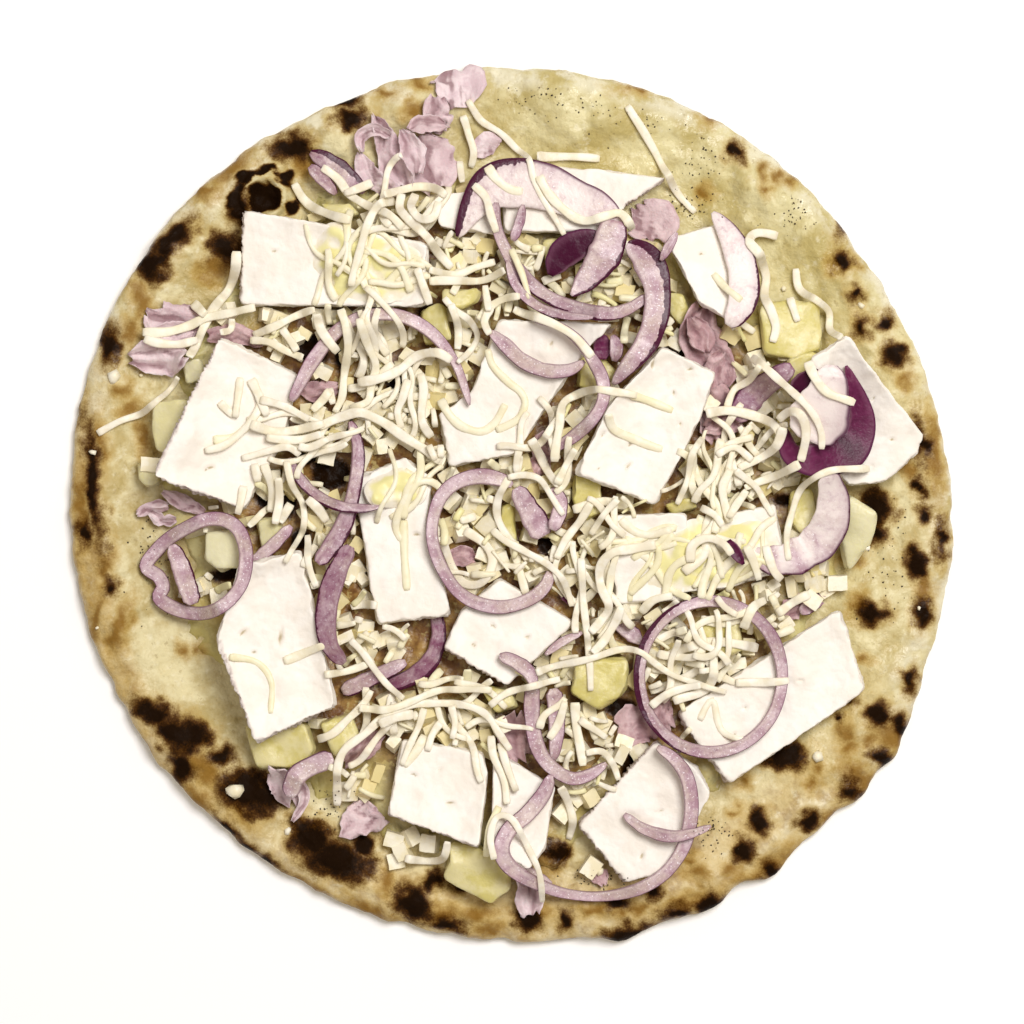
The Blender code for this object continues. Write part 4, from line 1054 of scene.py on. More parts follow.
# Fibres, as noise laid out along the strip and over its width
strip_place = add(tree, "CombineXYZ", {"X": product(tree, along, 420.0), "Y": product(tree, across, 2.2)})
fibre = add(tree, "TexNoise", {"Vector": strip_place.outputs[0], "Scale": 1.0, "Detail": 3.0}).outputs["Fac"]
wander = product(tree, sum_of(tree, fibre, -0.5), 0.9)
colour = mix(tree, ramp(tree, fibre, 0.5, 0.75, 0.0, 0.4), flesh, paint(156, 120, 136))
speckle = patches(tree, 900.0, 0.54, 0.64)
colour = mix(tree, product(tree, speckle, 0.35), colour, paint(154, 120, 134))
# Painted glints: tiny white specks standing in for highlights on the wet flesh
painted_glints = patches(tree, 1300.0, 0.6, 0.65)
colour = mix(tree, product(tree, painted_glints, 0.9), colour, paint(250, 244, 248))
# Paler below a stain of -0.3, purple above 0; then lines along both sides, the inner partly painted shade,
# and the outer side's skin
stain = sum_of(tree, mark(tree, "stain"), product(tree, wander, 0.8))
colour = mix(tree, ramp(tree, stain, -0.3, -0.9, 0.0, 1.0), colour, paint(238, 226, 222))
colour = mix(tree, ramp(tree, stain, 0.0, 1.3), colour, paint(110, 40, 80))
colour = mix(tree, ramp(tree, stain, 1.0, 1.9), colour, paint(66, 8, 42))
colour = mix(tree, ramp(tree, across, 0.2, 0.9, 0.0, 0.3), colour, paint(140, 92, 116))
colour = mix(tree, ramp(tree, across, 0.78, 0.96, 0.0, 0.95), colour, paint(84, 28, 66))
# A darker line along the inner edge: partly the membrane, partly painted shade
inner_line_and_shade = product(tree, ramp(tree, across, -0.7, -0.97, 0.0, 0.7), ramp(tree, stain, -0.6, 0.0))
colour = mix(tree, inner_line_and_shade, colour, paint(134, 96, 112))
into_skin = sum_of(tree, sum_of(tree, across, -1.0), product(tree, mark(tree, "skin"), 2.0))
skinned = ramp(tree, sum_of(tree, into_skin, product(tree, wander, 0.6)), 0.0, 0.04)
colour = mix(tree, skinned, colour, paint(70, 8, 44))
skin = relief(tree, scale=900.0, depth=0.0003, strength=0.6)
wet_skin = relief(tree, scale=420.0, depth=0.0012, strength=1.0)
shine = ramp(tree, stain, 0.4, 1.2, 0.34, 0.16)
fill(shader, {"Base Color": colour, "Specular IOR Level": shine, "Normal": skin, "Coat Normal": wet_skin})


def bridging(route, width, rounds, closed=False):
    """The underside of a springy strip laid along a route: it touches the heights and spans between."""
    left = sideways(route, closed)
    offsets = np.linspace(-0.5, 0.5, 5)[:, None, None] * np.broadcast_to(width, len(route))[None, :, None]
    places = route[None, :, :2] + left[None] * offsets
    support = read(widened(ground), places[..., 0], places[..., 1]).max(axis=0) + GAP
    level = support.copy()
    for _ in range(rounds):
        if closed:
            mean = (np.roll(level, 1) + np.roll(level, -1)) / 2
        else:
            mean = np.convolve(np.pad(level, 1, mode="edge"), [0.5, 0, 0.5], mode="valid")
        level = np.maximum(mean, support)
    return level


def stamp_strip(route, width, top, closed=False):
    """Raises the ground to a strip's top."""
    dense = np.column_stack([route[:, :2], np.broadcast_to(top, len(route)),
                             np.broadcast_to(width, len(route))])
    dense = evenly(np.vstack([dense, dense[:1]]) if closed else dense, pitch=0.0006)
    left = sideways(dense)
    for share in np.linspace(-0.5, 0.5, max(3, round(np.max(width) / 0.0007))):
        places = dense[:, :3].copy()
        places[:, :2] += left * share * dense[:, 3:]
        raise_ground(places)


def strip_mesh(route, level, width, thick, section, closed, lean, start):
    """A tube of a given section along a route, as points and faces."""
    left = sideways(route, closed)
    count, sides = len(route), len(section)
    x = section[:, 0][None] * np.broadcast_to(width, count)[:, None] / 2
    z = section[:, 1][None] * np.broadcast_to(thick, count)[:, None]
    turn = math.radians(lean)
    x, z = x * math.cos(turn) - z * math.sin(turn), x * math.sin(turn) + z * math.cos(turn)
    z = z - z.min(axis=1)[:, None]
    plan = route[:, None, :2] + left[:, None, :] * x[..., None]
    points = np.concatenate([plan, (level[:, None] + z)[..., None]], axis=-1).reshape(-1, 3)
    index = start + np.arange(count * sides).reshape(count, sides)
    beside = np.roll(index, -1, axis=1)
    if closed:
        ends = []
        faces = np.stack([index, beside, np.roll(beside, -1, axis=0), np.roll(index, -1, axis=0)], axis=-1)
    else:
        ends = [index[0].tolist()[::-1], index[-1].tolist()]
        faces = np.stack([index[:-1], beside[:-1], beside[1:], index[1:]], axis=-1)
    return points, faces.reshape(-1, 4).tolist() + ends


# A cut band in section, 2 wide and 1 high: upright sides, a narrow bevel and a slightly hollow top
HALF_BAND = [(1.0, 0.35), (1.0, 0.7), (0.975, 0.9), (0.92, 1.0), (0.8, 1.0), (0.5, 0.95), (0.2, 0.92)]
BAND_BASE = [(-0.85, 0), (-0.3, 0), (0.3, 0), (0.85, 0)]
# How much a petal arches up, as a share of its thickness
PETAL_ARCH = 0.22


def lay_onion(name, node, strips, draw):
    """The strips of one piece of onion, laid in turn and joined in one mesh."""
    points, faces, marks = [], [], {"across": [], "along": [], "skin": [], "stain": []}
    for pixels, widths, skin_share, stain, lean in strips:
        closed = node in ("onion_left_ring", "onion_right_ring") and len(pixels) > 10
        run = curve_through(pixels, ONION_STEP, closed, others=[widths, skin_share])
        count = len(run)
        broad = np.max(widths) > BROAD
        knots = draw.standard_normal(12)
        uneven = np.interp(np.arange(count), np.linspace(0, count - 1, 13), np.append(knots, knots[0]))
        width = np.maximum(run[:, 2], 2) * PIXEL * (1 + 0.05 * uneven)
        thick = (PETAL_THICK if broad else ONION_THICK) * (1 + 0.05 * uneven)
        if not closed:
            ends = from_ends(count)
            width = width * np.clip(0.55 + ends / 5, 0, 1)
            thick = thick * np.clip(0.7 + ends / 5, 0, 1)
        half_band = np.array(HALF_BAND)
        half_band[:, 1] += (PETAL_ARCH if broad else 0) * (1 - half_band[:, 0] ** 2)
        section = np.vstack([half_band, half_band[::-1] * [-1, 1], BAND_BASE])
        outward = np.sign(((run[:, :2] - run[:, :2].mean(axis=0)) * sideways(run, closed)).sum() or 1)
        level = bridging(run, width, rounds=60, closed=closed)
        start = sum(map(len, points))
        more, more_faces = strip_mesh(run, level, width, thick, section, closed, -outward * lean, start)
        points.append(more)
        faces += more_faces
        marks["across"].append(np.tile(section[:, 0] * outward, count))
        marks["along"].append(np.repeat(np.arange(count) * ONION_STEP + start * 0.001, len(section)))
        marks["skin"].append(np.repeat(run[:, 3], len(section)))
        marks["stain"].append(np.repeat(stain + 0.15 * uneven, len(section)))
        stamp_strip(run, 0.9 * width, level + thick * (1.1 if broad else 0.9), closed)
    marks = {label: np.concatenate(values) for label, values in marks.items()}
    piece(name, np.vstack(points), faces, red_onion, node, marks)


draw = np.random.default_rng(70)
for label, strips in ONION_UNDER.items():
    lay_onion(f"onion_strip_{label}", f"onion_{label}", strips, draw)
for number, strip in enumerate(LOOSE_ONION, 1):
    lay_onion(f"onion_bit_{number}", "cheese_heap", [strip], draw)

# The camembert. Thick slices cut through a whole cheese: white paste with small slits and holes, and
# a band of bloomy rind, grey and creased, on some of the narrow ends. The heat has slumped them a
# little over what they lie on.
CAMEMBERT_THICK = 0.0080
# How far the rind reaches in from an end, and how deep the holes go
RIND_REACH = 0.0020
EYE_DEPTH = 0.0016
CAMEMBERT = [
    [(243, 210), (430, 245), (425, 308), (239, 306)],
    [(502, 161), (668, 177), (625, 207), (598, 233), (504, 233)],
    [(434, 195), (497, 190), (498, 235), (440, 228)],
    [(665, 240), (722, 222), (745, 300), (728, 320), (700, 306)],
    [(222, 337), (300, 375), (285, 440), (245, 510), (158, 478), (159, 466)],
    [(808, 358), (845, 337), (865, 365), (922, 435), (918, 452), (885, 482), (848, 486), (800, 440)],
    [(498, 320), (613, 324), (588, 348), (550, 402), (516, 454), (449, 468), (438, 415), (472, 392)],
    [(662, 347), (715, 373), (699, 420), (655, 506), (575, 474), (608, 405)],
    [(352, 480), (405, 457), (434, 478), (428, 520), (452, 615), (378, 625)],
    [(608, 515), (686, 513), (686, 600), (616, 604)],
    [(700, 520), (775, 503), (785, 570), (716, 592)],
    [(240, 565), (303, 550), (318, 620), (338, 705), (258, 742), (218, 640)],
    [(402, 738), (482, 751), (488, 772), (480, 846), (388, 814)],
    [(494, 748), (555, 787), (545, 848), (528, 868), (491, 846)],
    [(675, 713), (840, 608), (866, 690), (728, 785)],
    [(655, 740), (696, 765), (710, 792), (670, 870), (625, 883), (577, 825)],
    [(500, 577), (575, 622), (507, 686), (443, 648), (460, 612)],
]
# Slits and holes in the paste: pixel, half length and half width in pixels, and turn in degrees
EYES = [
    (551, 344, 4, 2, 60), (672, 394, 5, 1.6, 75), (628, 466, 6, 1.6, 50), (652, 365, 9, 2.5, 80),
    (282, 637, 10, 2.5, 85), (641, 855, 4, 3, 60), (473, 645, 4, 2, -50), (493, 625, 5, 1.5, -35),
    (527, 637, 4, 2, 0), (275, 251, 3, 1.5, 0), (212, 467, 5, 2, 10), (208, 469, 2, 1.5, 0),
    (245, 632, 6, 2, 40), (417, 535, 5, 2, 0), (414, 773, 5, 1.5, -30), (440, 768, 2, 1, 0),
    (450, 802, 6, 2, 5), (688, 370, 4, 1.6, 10), (680, 425, 3, 1.5, 60), (630, 445, 3, 2, 40),
    (598, 470, 3, 1.2, 60), (603, 435, 4, 1.4, 60), (746, 709, 3, 1.5, 0), (800, 680, 6, 1.2, 0),
    (780, 640, 4, 1.2, 30), (700, 255, 5, 1.4, 20), (733, 277, 4, 1.2, -20), (560, 190, 5, 1.4, 5),
    (870, 400, 4, 1.4, 50), (890, 440, 4, 1.4, 20), (870, 466, 2, 1.2, 0), (747, 582, 4, 2.5, 0),
    (256, 652, 3, 1.5, 0), (660, 812, 4, 1.2, 20), (476, 736, 5, 2, 0), (735, 733, 3, 1, 60),
]
# Ends that carry rind, as lines between pixels
RIND = [
    ((222, 337), (158, 472)), ((388, 814), (484, 848)), ((338, 705), (258, 742)),
    ((158, 478), (245, 510)), ((577, 825), (625, 883)), ((668, 177), (625, 207)),
    ((577, 825), (655, 740)), ((222, 640), (256, 740)), ((443, 648), (507, 686)),
    ((243, 210), (239, 306)), ((675, 713), (728, 785)),
]

camembert_paste, tree, shader = new_material(
    "camembert paste", {"Roughness": 0.55, "Specular IOR Level": 0.25}
)
paste = clouds(tree, 85.0, (249, 244, 236), (244, 237, 226))
bloom = clouds(tree, 420.0, (226, 216, 210), (182, 166, 160))
colour = mix(tree, ramp(tree, mark(tree, "rind"), 0.25, 0.8), paste, bloom)
# Painted shade in the slits and holes of the paste, darker where they sink
colour = mix(tree, ramp(tree, mark(tree, "eye_and_its_shade"), 0.0, 0.8, 0.0, 0.75), colour, paint(150, 128, 70))
skin = relief(tree, scale=480.0, depth=0.0007, strength=0.4)
fill(shader, {"Base Color": colour, "Normal": skin})


def from_line(x, y, start, end):
    """Distance in the plan from a line between two pixels."""
    a, b = at(*start), at(*end)
    run = b - a
    share = np.clip(((x - a[0]) * run[0] + (y - a[1]) * run[1]) / (run @ run), 0, 1)
    return np.hypot(x - a[0] - share * run[0], y - a[1] - share * run[1])


for number, corners in enumerate(CAMEMBERT, 1):
    name = f"camembert_slice_{number}"
    outline = rounded(corners, pitch=0.0012, softness=0.06)
    mesh, points = lump(name, outline, CAMEMBERT_THICK, inset=0.02, voxel=0.0007, smoothing=1)
    x, y = points[:, 0].copy(), points[:, 1].copy()
    up = points[:, 2] / CAMEMBERT_THICK
    eye_and_its_shade = np.clip(spot_field(EYES, x, y, edge=0.5), 0, 1) * (up > 0.6)
    rind = np.zeros(len(points))
    for start, end in RIND:
        rind = np.maximum(rind, 1 - from_line(x, y, start, end) / RIND_REACH)
    rind = rind * np.where(up > 0.9, 0.75, 1.0)
    creases = 0.0003 * np.clip(rind, 0, 1) * np.sin((x + y) * 2600 + 3 * read(middling, x, y))
    middle = outline.mean(axis=0)
    points[:, 0] += creases * np.sign(x - middle[0]) + 0.0002 * read(middling, x, y + up * 0.01)
    points[:, 1] += creases * np.sign(y - middle[1]) + 0.0002 * read(middling, y, x + up * 0.01)
    points[:, :2] += 0.00016 * read(fine, x, y + up * 0.02)[:, None] * (points[:, :2] - middle) / 0.02
    rough = 0.00022 * read(coarse, x, y) + 0.00008 * read(middling, x, y) + 0.00007 * read(fine, x, y)
    points[:, 2] += read(resting(outline, sag=0.4), x, y) + up * rough - EYE_DEPTH * np.sqrt(eye_and_its_shade)
    settle(mesh, points)
    linked(name, mesh, camembert_paste, f"camembert_{number}", {"eye_and_its_shade": eye_and_its_shade, "rind": rind})

# The diced cheese. Small rough cubes of the mild cheese that melted into the bed, still standing
# wherever nothing lies on them. They are cut by hand, so no two match.
DICE_PITCH = 0.0055
DICE_SIDE = 0.0058
DICE_ROUGHNESS = 0.04
free = widened(ground) < bare_bed + 0.0012
free &= spot_field(BED_DARK_HOLLOWS, grid_x, grid_y, edge=2) < -0.1


def emptied(shape):
    """The points and faces of a bmesh, which is freed."""
    points = np.array([v.co for v in shape.verts])
    faces = np.array([[v.index for v in face.verts] for face in shape.faces])
    shape.free()
    return points, faces


cube = bmesh.new()
bmesh.ops.create_cube(cube, size=1)
bmesh.ops.subdivide_edges(cube, edges=cube.edges, cuts=2, use_grid_fill=True)
cube_points, cube_faces = emptied(cube)
ball = cube_points / np.linalg.norm(cube_points, axis=1)[:, None] * 0.62
cube_points = 0.9 * cube_points + 0.1 * ball


def turned(points, first, second, angle):
    """Points turned in the plane of two axes."""
    turned_points = points.copy()
    turned_points[:, first] = points[:, first] * math.cos(angle) - points[:, second] * math.sin(angle)
    turned_points[:, second] = points[:, first] * math.sin(angle) + points[:, second] * math.cos(angle)
    return turned_points


def rough_cube(size, draw):
    """The points of a cube of three sides, cut by hand."""
    return cube_points * size * (1 + DICE_ROUGHNESS * draw.standard_normal((len(cube_points), 3)))


def keep_cube(block, tint):
    """Adds a cube to the dice and raises the ground to it."""
    all_faces.extend((cube_faces + sum(map(len, all_points))).tolist())
    all_points.append(block)
    tints.append(np.full(len(block), tint))
    raise_ground(block)


# Larger cubes that lie clear: their shortest and longest sides, and their pixels
LONE_SHORTEST = [0.0056, 0.0046, 0.0046]
LONE_LONGEST = [0.0074, 0.0060, 0.0060]
LONE_DICE = [
    (394, 840), (410, 838), (430, 844), (402, 852), (467, 725), (484, 732), (500, 726), (624, 743),
    (601, 725), (640, 752), (577, 799), (588, 780), (591, 868), (610, 760), (652, 649), (827, 589),
    (838, 583), (678, 340), (710, 405), (356, 570), (365, 600), (384, 640), (230, 505), (252, 590),
    (150, 466), (786, 352), (812, 600), (360, 776), (348, 792), (396, 862), (540, 400), (205, 585),
    (186, 592), (560, 706), (654, 626), (716, 640),
]
draw = np.random.default_rng(21)
all_points, all_faces, tints = [], [], []
for pixel in LONE_DICE:
    size = draw.uniform(LONE_SHORTEST, LONE_LONGEST)
    block = rough_cube(size, draw)
    block = turned(turned(block, 1, 2, draw.normal(0, 0.25)), 0, 1, draw.uniform(0, math.pi))
    place = at(*pixel)
    low = min(read(ground, *place), read(bare_bed, *place) + 0.004) - 0.0006
    keep_cube(block + [*place, low - block[:, 2].min()], draw.uniform(0, 0.7))
# The others lie on a loose triangular grid, wherever the bed is free
DICE_REACH = 0.135
DICE_STRAY = 0.0022
rows = int(DICE_REACH / DICE_PITCH)
for row in range(-rows, rows + 1):
    for column in range(-rows, rows + 1):
        place = np.array([column + 0.5 * (row % 2), row * 0.87]) * DICE_PITCH
        place = place + draw.uniform(-DICE_STRAY, DICE_STRAY, 2)
        size = DICE_SIDE * draw.uniform([0.7, 0.6, 0.7], [1.35, 1.1, 1.1])
        turn, tip, roll, tint = *draw.uniform(0, math.pi, 1), *draw.normal(0, 0.3, 2), draw.random()
        bearing = math.degrees(math.atan2(place[1], place[0])) % 360
        reach = around(BED_OUTLINE, [bearing])[0] * 0.97
        sparse = np.linalg.norm(place) > 0.72 * DOUGH_RADIUS and tint < 0.55
        sparse |= read(coarse, *place) < -0.2 and tint < 0.6
        if sparse or np.linalg.norm(place) > reach or read(free.astype(float), *place) < 0.8:
            continue
        block = turned(turned(turned(rough_cube(size, draw), 1, 2, tip), 0, 2, roll), 0, 1, turn)
        keep_cube(block + [*place, read(bare_bed, *place) - 0.0010 - block[:, 2].min()], tint)

mild_cheese, tree, shader = new_material("mild cheese", {"Roughness": 0.4, "Specular IOR Level": 0.35})
cream = clouds(tree, 150.0, (246, 240, 220), (238, 228, 194))
colour = mix(tree, ramp(tree, mark(tree, "tint"), 0.6, 1.0), cream, paint(226, 210, 150))
skin = relief(tree, scale=700.0, depth=0.0004, strength=0.4)
fill(shader, {"Base Color": colour, "Normal": skin})
dice = piece("cheese_dice", np.vstack(all_points), all_faces, mild_cheese, "cheese_heap",
             {"tint": np.concatenate(tints)})
dice.data.set_sharp_from_angle(angle=math.radians(38))

# The grated cheese. Long strands from the coarse side of a grater, scattered last. Most lie across
# everything else; some were under the onion; and in three heaps they have melted into a yellow pool.
SHRED_WIDTH = 0.0032
SHRED_THICK = 0.0015
SHRED_STEP = 0.0012
BIT_STEP = 0.0010
# The least and greatest length of a strand in a heap, and of a short bit
SHRED_LENGTHS = (0.014, 0.036)
BIT_LENGTHS = (0.003, 0.011)
# How deep strands sink into what they lie on: most of them, the short bits, and those in soft slices
LIGHT_SINK = 0.0002
BIT_SINK = 0.0004
DEEP_SINK = 0.0008
SHREDS_UNDER = [
    [(672, 618), (690, 638), (705, 658), (718, 675), (735, 682)],
    [(665, 657), (690, 645), (720, 642), (758, 648)], [(700, 618), (720, 622), (745, 618)],
    [(650, 690), (680, 680), (700, 668)], [(655, 640), (675, 632), (690, 640)],
    [(465, 530), (485, 545), (492, 562), (482, 582), (465, 584), (453, 570), (444, 545), (438, 518)],
    [(512, 540), (518, 560), (522, 580), (525, 594)], [(600, 640), (612, 622), (620, 606)],
]
# Sunk half into the slices they lie on
SHREDS_SUNK = [
    [(630, 396), (650, 403), (672, 411)], [(608, 415), (614, 430), (635, 441), (662, 449)],
    [(440, 400), (449, 415), (462, 426), (480, 431), (494, 424), (506, 405)],
    [(487, 350), (492, 366), (508, 382), (521, 392), (526, 404), (518, 420), (496, 430)],
    [(232, 655), (258, 662), (273, 682), (273, 712)], [(285, 660), (310, 650), (342, 640)],
    [(410, 470), (402, 485), (412, 505)], [(372, 500), (392, 490), (398, 470)],
    [(405, 520), (404, 555), (408, 590)], [(425, 735), (416, 750), (404, 765)],
    [(700, 720), (712, 700), (722, 730), (745, 740)], [(215, 440), (235, 438), (252, 425)],
    [(712, 275), (725, 290), (740, 302)], [(512, 250), (530, 300)], [(500, 805), (488, 830), (486, 855)],
    [(640, 552), (655, 560), (668, 548)],
]
SHREDS = [
    [(294, 183), (303, 197), (315, 208), (335, 218), (352, 222)],
    [(322, 168), (338, 180), (350, 194), (372, 208), (390, 218), (404, 231)],
    [(372, 182), (358, 188), (344, 193)],
    [(395, 200), (379, 208), (370, 226), (362, 246), (356, 272), (353, 288)],
    [(385, 197), (400, 190), (418, 186), (434, 189), (446, 198)],
    [(403, 195), (401, 210), (410, 222), (426, 238), (438, 254), (452, 268)],
    [(415, 194), (411, 208), (420, 220), (433, 218), (439, 203)],
    [(462, 115), (468, 130), (474, 150), (470, 166)], [(460, 160), (463, 182)],
    [(467, 100), (480, 118), (500, 131), (515, 147), (528, 160), (535, 182), (546, 206), (564, 236)],
    [(430, 271), (455, 276), (477, 268), (495, 262)], [(430, 284), (460, 281), (486, 280), (505, 272)],
    [(418, 270), (424, 290), (430, 306)], [(537, 155), (570, 156), (600, 158)],
    [(628, 105), (640, 124), (652, 146), (666, 172), (680, 193), (696, 211)],
    [(487, 168), (496, 180), (510, 190), (523, 192)], [(473, 187), (486, 199), (492, 218), (496, 234)],
    [(538, 178), (548, 195), (566, 212), (585, 222), (606, 218), (620, 216), (632, 231)],
    [(778, 236), (757, 233), (748, 243), (760, 258), (768, 276), (764, 298), (770, 312), (776, 328),
     (772, 343)],
    [(796, 268), (801, 288), (818, 302), (829, 312), (830, 330), (838, 340)], [(790, 298), (797, 322)],
    [(750, 358), (774, 378), (795, 400), (810, 418), (818, 435), (819, 450)],
    [(757, 366), (748, 380), (734, 390), (727, 409)], [(803, 364), (812, 381), (826, 396), (850, 405)],
    [(705, 415), (730, 411), (756, 416), (771, 424), (778, 436)],
    [(776, 421), (786, 412), (797, 416), (802, 432), (798, 462)],
    [(780, 428), (774, 446), (760, 458), (738, 469)], [(797, 465), (780, 474), (761, 480), (744, 488)],
    [(868, 468), (835, 470), (813, 478), (798, 492), (790, 515), (786, 540), (788, 560)],
    [(702, 438), (692, 455), (687, 478), (676, 504)], [(718, 454), (712, 475), (700, 490), (694, 503)],
    [(716, 456), (734, 448), (752, 460)], [(730, 470), (722, 490), (725, 512), (729, 522)],
    [(735, 470), (754, 486), (764, 504), (772, 516)], [(745, 490), (735, 505), (728, 518)],
    [(238, 252), (236, 270), (226, 291), (212, 309), (203, 328), (196, 346), (191, 358)],
    [(143, 333), (165, 332), (188, 325), (205, 318), (230, 314), (256, 308)],
    [(145, 338), (160, 343), (180, 345), (198, 340)], [(192, 303), (206, 315)],
    [(97, 434), (120, 421), (142, 412), (160, 398), (171, 386), (178, 377)],
    [(222, 334), (231, 330), (232, 319)], [(253, 335), (275, 326), (298, 316), (316, 311)],
    [(250, 341), (270, 343), (288, 351), (304, 358)], [(283, 329), (290, 340), (297, 352)],
    [(318, 315), (321, 330), (330, 344), (338, 353)],
    [(342, 310), (347, 330), (348, 352), (345, 375), (342, 396), (334, 412)],
    [(360, 320), (369, 345), (376, 365), (371, 385), (368, 402), (350, 410)],
    [(358, 383), (380, 378), (400, 370), (418, 357), (438, 354), (452, 361)],
    [(409, 380), (404, 398), (398, 412), (401, 429)], [(420, 374), (424, 390), (423, 420), (432, 437)],
    [(320, 428), (340, 418), (360, 412), (378, 420), (400, 434), (422, 447), (440, 462)],
    [(444, 300), (455, 312), (470, 322), (478, 336), (472, 350), (458, 364)],
    [(452, 305), (458, 326), (457, 350)], [(478, 320), (489, 308), (505, 300), (520, 298)],
    [(489, 336), (484, 322), (492, 308)], [(514, 309), (535, 318), (556, 328), (576, 340), (592, 358)],
    [(486, 286), (488, 312)],
    [(555, 462), (558, 432), (562, 406), (576, 396), (596, 390), (618, 393), (636, 397)],
    [(530, 440), (540, 456), (549, 472), (560, 486)], [(556, 484), (566, 466), (576, 450)],
    [(508, 478), (499, 496), (498, 515), (504, 532), (513, 546)],
    [(508, 478), (525, 476), (540, 480), (552, 496), (563, 515)],
    [(493, 529), (506, 541), (525, 552), (546, 562), (560, 576), (567, 592), (572, 606)],
    [(590, 503), (580, 522), (566, 540), (556, 558)], [(618, 500), (604, 514), (590, 534)],
    [(580, 558), (583, 590), (586, 620), (588, 652), (590, 690)],
    [(655, 545), (630, 548), (612, 552), (601, 566), (601, 585), (608, 606), (600, 620), (590, 632)],
    [(592, 652), (605, 640), (615, 622), (620, 606)],
    [(536, 672), (560, 665), (590, 657), (620, 650), (640, 652), (656, 663), (676, 676), (700, 685),
     (726, 691)],
    [(490, 705), (506, 692), (530, 685), (560, 679)], [(735, 683), (760, 682), (788, 679)],
    [(742, 628), (750, 607), (765, 600)], [(776, 613), (795, 600), (809, 594)],
    [(716, 596), (724, 606), (736, 614)], [(640, 612), (652, 600), (672, 596)],
    [(650, 705), (670, 692), (700, 685)], [(540, 728), (545, 715), (560, 704), (565, 697)],
    [(549, 738), (558, 722), (564, 700)], [(575, 702), (577, 725), (580, 745), (582, 765)],
    [(580, 718), (592, 728), (606, 738)], [(586, 752), (602, 752), (613, 765), (619, 779)],
    [(560, 786), (568, 800), (573, 820), (568, 840)], [(492, 735), (494, 755), (503, 778), (507, 802)],
    [(500, 742), (508, 765), (516, 790)],
    [(494, 856), (490, 836), (497, 816), (510, 816), (522, 832), (535, 860), (540, 880), (543, 902)],
    [(318, 738), (335, 732), (350, 718), (362, 705), (371, 690)],
    [(336, 806), (338, 776), (345, 750), (365, 732), (386, 715), (412, 705), (440, 702), (465, 705),
     (485, 714), (498, 730), (511, 748)],
    [(360, 708), (386, 708), (415, 700), (440, 690), (465, 688), (492, 690)],
    [(326, 674), (345, 672), (368, 663)], [(350, 640), (365, 655), (378, 672), (390, 686), (404, 698)],
    [(425, 708), (420, 725), (409, 745), (402, 764)], [(452, 705), (456, 722), (452, 738)],
    [(441, 722), (433, 735), (428, 750)], [(405, 859), (425, 862), (442, 858), (448, 840)],
    [(380, 724), (398, 717), (414, 714)], [(207, 450), (228, 445), (246, 430), (258, 412), (263, 398)],
    [(222, 402), (235, 416)], [(241, 378), (240, 398), (238, 418)], [(252, 380), (262, 398), (269, 416)],
    [(262, 400), (286, 406), (310, 420)], [(252, 425), (275, 431), (302, 430), (325, 424)],
    [(268, 437), (298, 440), (323, 435)], [(243, 458), (265, 452), (288, 448), (300, 456)],
    [(300, 446), (312, 448), (330, 440)],
    [(288, 461), (292, 485), (303, 505), (305, 526), (296, 545), (286, 562)],
    [(266, 464), (272, 488), (270, 512)], [(264, 510), (250, 526)], [(291, 504), (280, 522)],
    [(308, 499), (320, 509), (328, 521)], [(307, 535), (310, 560), (318, 586)], [(255, 464), (259, 482)],
    [(279, 478), (279, 500), (276, 524)], [(246, 486), (243, 500), (238, 514)], [(330, 388), (334, 404)],
    [(312, 410), (324, 398), (330, 390)], [(440, 445), (441, 458)], [(430, 445), (436, 460)],
    [(690, 562), (692, 546), (706, 538), (722, 543), (731, 554)], [(700, 508), (715, 515), (722, 526)],
    [(745, 545), (752, 560), (757, 580)], [(765, 545), (772, 570), (780, 580)],
]
# Heaps of strands: pixel, reach in pixels, how many, bearing in degrees, and how far melted
SHRED_HEAPS = [
    (350, 262, 40, 11, 98, 0.75), (404, 268, 30, 6, 98, 0.75), (652, 556, 40, 10, 20, 0.9),
    (730, 548, 42, 9, 60, 0.9), (405, 490, 24, 5, 60, 0.9), (360, 345, 46, 6, 90, 0.2),
    (398, 398, 40, 6, 30, 0.2), (300, 430, 40, 5, 10, 0.2), (545, 440, 40, 4, 60, 0.2),
    (590, 590, 40, 6, 80, 0.3), (745, 470, 40, 8, 50, 0.3), (700, 645, 46, 7, 60, 0.3),
    (470, 715, 50, 6, 20, 0.3), (700, 480, 22, 4, 70, 0.6), (600, 520, 24, 3, 50, 0.3),
    (372, 725, 40, 3, 50, 0.3), (410, 210, 34, 3, 60, 0.2),
]
# Pools of melted strands: how high they stand, how far their edge dips, how far their foot lies below,
# and their corners in pixels
POOL_RISE = 0.0010
POOL_DIP = 0.0016
POOL_FOOT = 0.0022
POOLS = [
    [(318, 236), (330, 222), (352, 230), (425, 246), (424, 300), (370, 306), (318, 300), (326, 284),
     (304, 268)],
    [(636, 530), (660, 540), (690, 516), (720, 524), (770, 512), (782, 560), (735, 588), (640, 594),
     (646, 570)],
    [(362, 484), (405, 462), (430, 480), (424, 508), (370, 508)],
]
strand_cheese, tree, shader = new_material("grated strands", {"Roughness": 0.42, "Specular IOR Level": 0.4})
cream = clouds(tree, 190.0, (246, 240, 224), (238, 229, 205))
colour = mix(tree, ramp(tree, mark(tree, "tint"), 0.1, 1.0), cream, paint(236, 229, 164))
colour = mix(tree, ramp(tree, mark(tree, "tint"), 0.0, -0.5), colour, paint(247, 242, 233))
skin = relief(tree, scale=600.0, depth=0.0003, strength=0.4)
fill(shader, {"Base Color": colour, "Normal": skin})
shred_points, shred_faces, shred_tints = [], [], []


